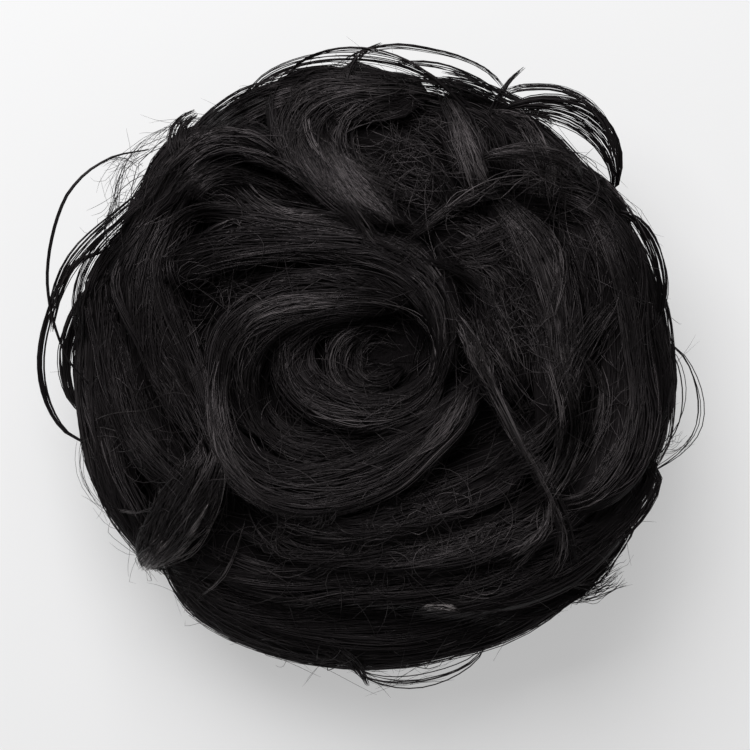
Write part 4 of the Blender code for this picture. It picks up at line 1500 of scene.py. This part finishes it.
# Short stray hairs over the top: they keep near the run of the ribbons under them, and in a tangle they
# don't. A tangle has its place and reach in the picture and its number of hairs
looseHair = {
    "seed": 733,
    "count": 860,
    "length": (18.0, 70.0),
    "turn": 0.40,
    "curl": 0.010,
    "lengthCurve": 1.6,
    "wave": 0.14,
    "wavePace": 0.6,
    "arch": (0.12, 0.8),
    "liftCurve": 1.5,
    "rootSink": 1.2 * mm,
    "radius": 0.075 * mm,
    "radiusSpread": 0.5,
    "tip": 0.3,
    "stations": 12,
    "rest": 0.55 * mm,
    "lift": 1.1 * mm,
    "tone": 0.24,
    "reach": 286.0,
    "middle": (374.0, 370.0),
    "outside": 0.2,
    "tangleLength": (34.0, 110.0),
    "tangleCurl": 0.040,
}
tangles = [
    (405, 146, 38, 70), (418, 184, 34, 40), (480, 125, 24, 12), (225, 290, 30, 20), (160, 450, 40, 34),
    (130, 430, 30, 14), (500, 345, 30, 34), (530, 330, 30, 16), (435, 500, 44, 30), (400, 548, 46, 26),
    (300, 420, 40, 14), (560, 250, 36, 16), (350, 590, 90, 12), (200, 250, 50, 12), (600, 360, 40, 12),
    (480, 240, 36, 18), (310, 530, 50, 22), (490, 540, 40, 16), (350, 400, 40, 14),
]


def placeLooseHairs(rng, look):
    # the middle lines of the ribbons give the run
    known, ways = [], []
    for group in ribbons.values():
        for line, _, _ in group:
            middle = smoothLine(line, 24)
            known.append(middle)
            ways.append(np.gradient(middle, axis=0))
    known, ways = np.vstack(known), np.vstack(ways)
    sides = [(*look["middle"], 0.0, look["count"])] + tangles
    starts, headings, curls, lengths = [], [], [], []
    for x, y, reach, count in sides:
        tangled = reach > 0
        far = np.sqrt(rng.random(count)) * (reach if tangled else look["reach"])
        bearing = rng.random(count) * 2 * math.pi
        start = np.column_stack([x + far * np.cos(bearing), y + far * np.sin(bearing)])
        way = ways[np.argmin(np.linalg.norm(start[:, None] - known[None], axis=2), axis=1)]
        heading = np.arctan2(way[:, 1], way[:, 0]) + (rng.random(count) < 0.5) * math.pi
        heading += (rng.random(count) * 2 * math.pi) if tangled else rng.normal(size=count) * look["turn"]
        shortest, longest = look["tangleLength" if tangled else "length"]
        starts.append(start)
        headings.append(heading)
        curls.append(rng.normal(size=count) * look["tangleCurl" if tangled else "curl"])
        lengths.append(shortest + (longest - shortest) * rng.random(count) ** look["lengthCurve"])
    start, heading, curl, length = (np.concatenate(some) for some in (starts, headings, curls, lengths))
    share = np.linspace(0, 1, look["stations"])[None]
    turned = heading[:, None] + curl[:, None] * length[:, None] * share
    turned += look["wave"] * waves(rng, len(start), share, look["wavePace"])
    step = (length / (look["stations"] - 1))[:, None]
    moves = np.stack([np.cos(turned) * step, np.sin(turned) * step], axis=-1)
    moved = np.cumsum(moves[:, :-1], axis=1)
    return start[:, None] + np.concatenate([np.zeros((len(start), 1, 2)), moved], axis=1)


def makeLooseHairs(look, tree):
    rng = np.random.default_rng(look["seed"])
    places = placeLooseHairs(rng, look)
    rays, depth, met = hairDepths(tree, places, look["outside"])
    rays, depth = rays[met], depth[met]
    count, stations = depth.shape
    share = np.linspace(0, 1, stations)[None]
    first, length = look["arch"]
    arch = np.sin(math.pi * (first + length * share))  # lifted along the hair, less at its ends
    lift = look["rest"] + look["lift"] * rng.random((count, 1)) ** look["liftCurve"] * arch
    depth = -taut(-depth, 6) - lift
    depth[:, 0] += look["rootSink"]
    lines = picture.eye + rays * depth[..., None]
    piece = PieceMesh()
    addPlainHairs(piece, rng, lines, look)
    print("loose_top_hairs", piece.build("loose_top_hairs", [strandMaterial]))


wisps = ("crossing_wisp", "hanging_wisp")  # too thin to carry other hair
carrier = hairTree(["wound_base", "top_right_loop_inner", *(name for name in routes if name not in wisps)])
for name, group in ribbons.items():
    drawHairs(name, group, carrier)
makeLooseHairs(looseHair, carrier)
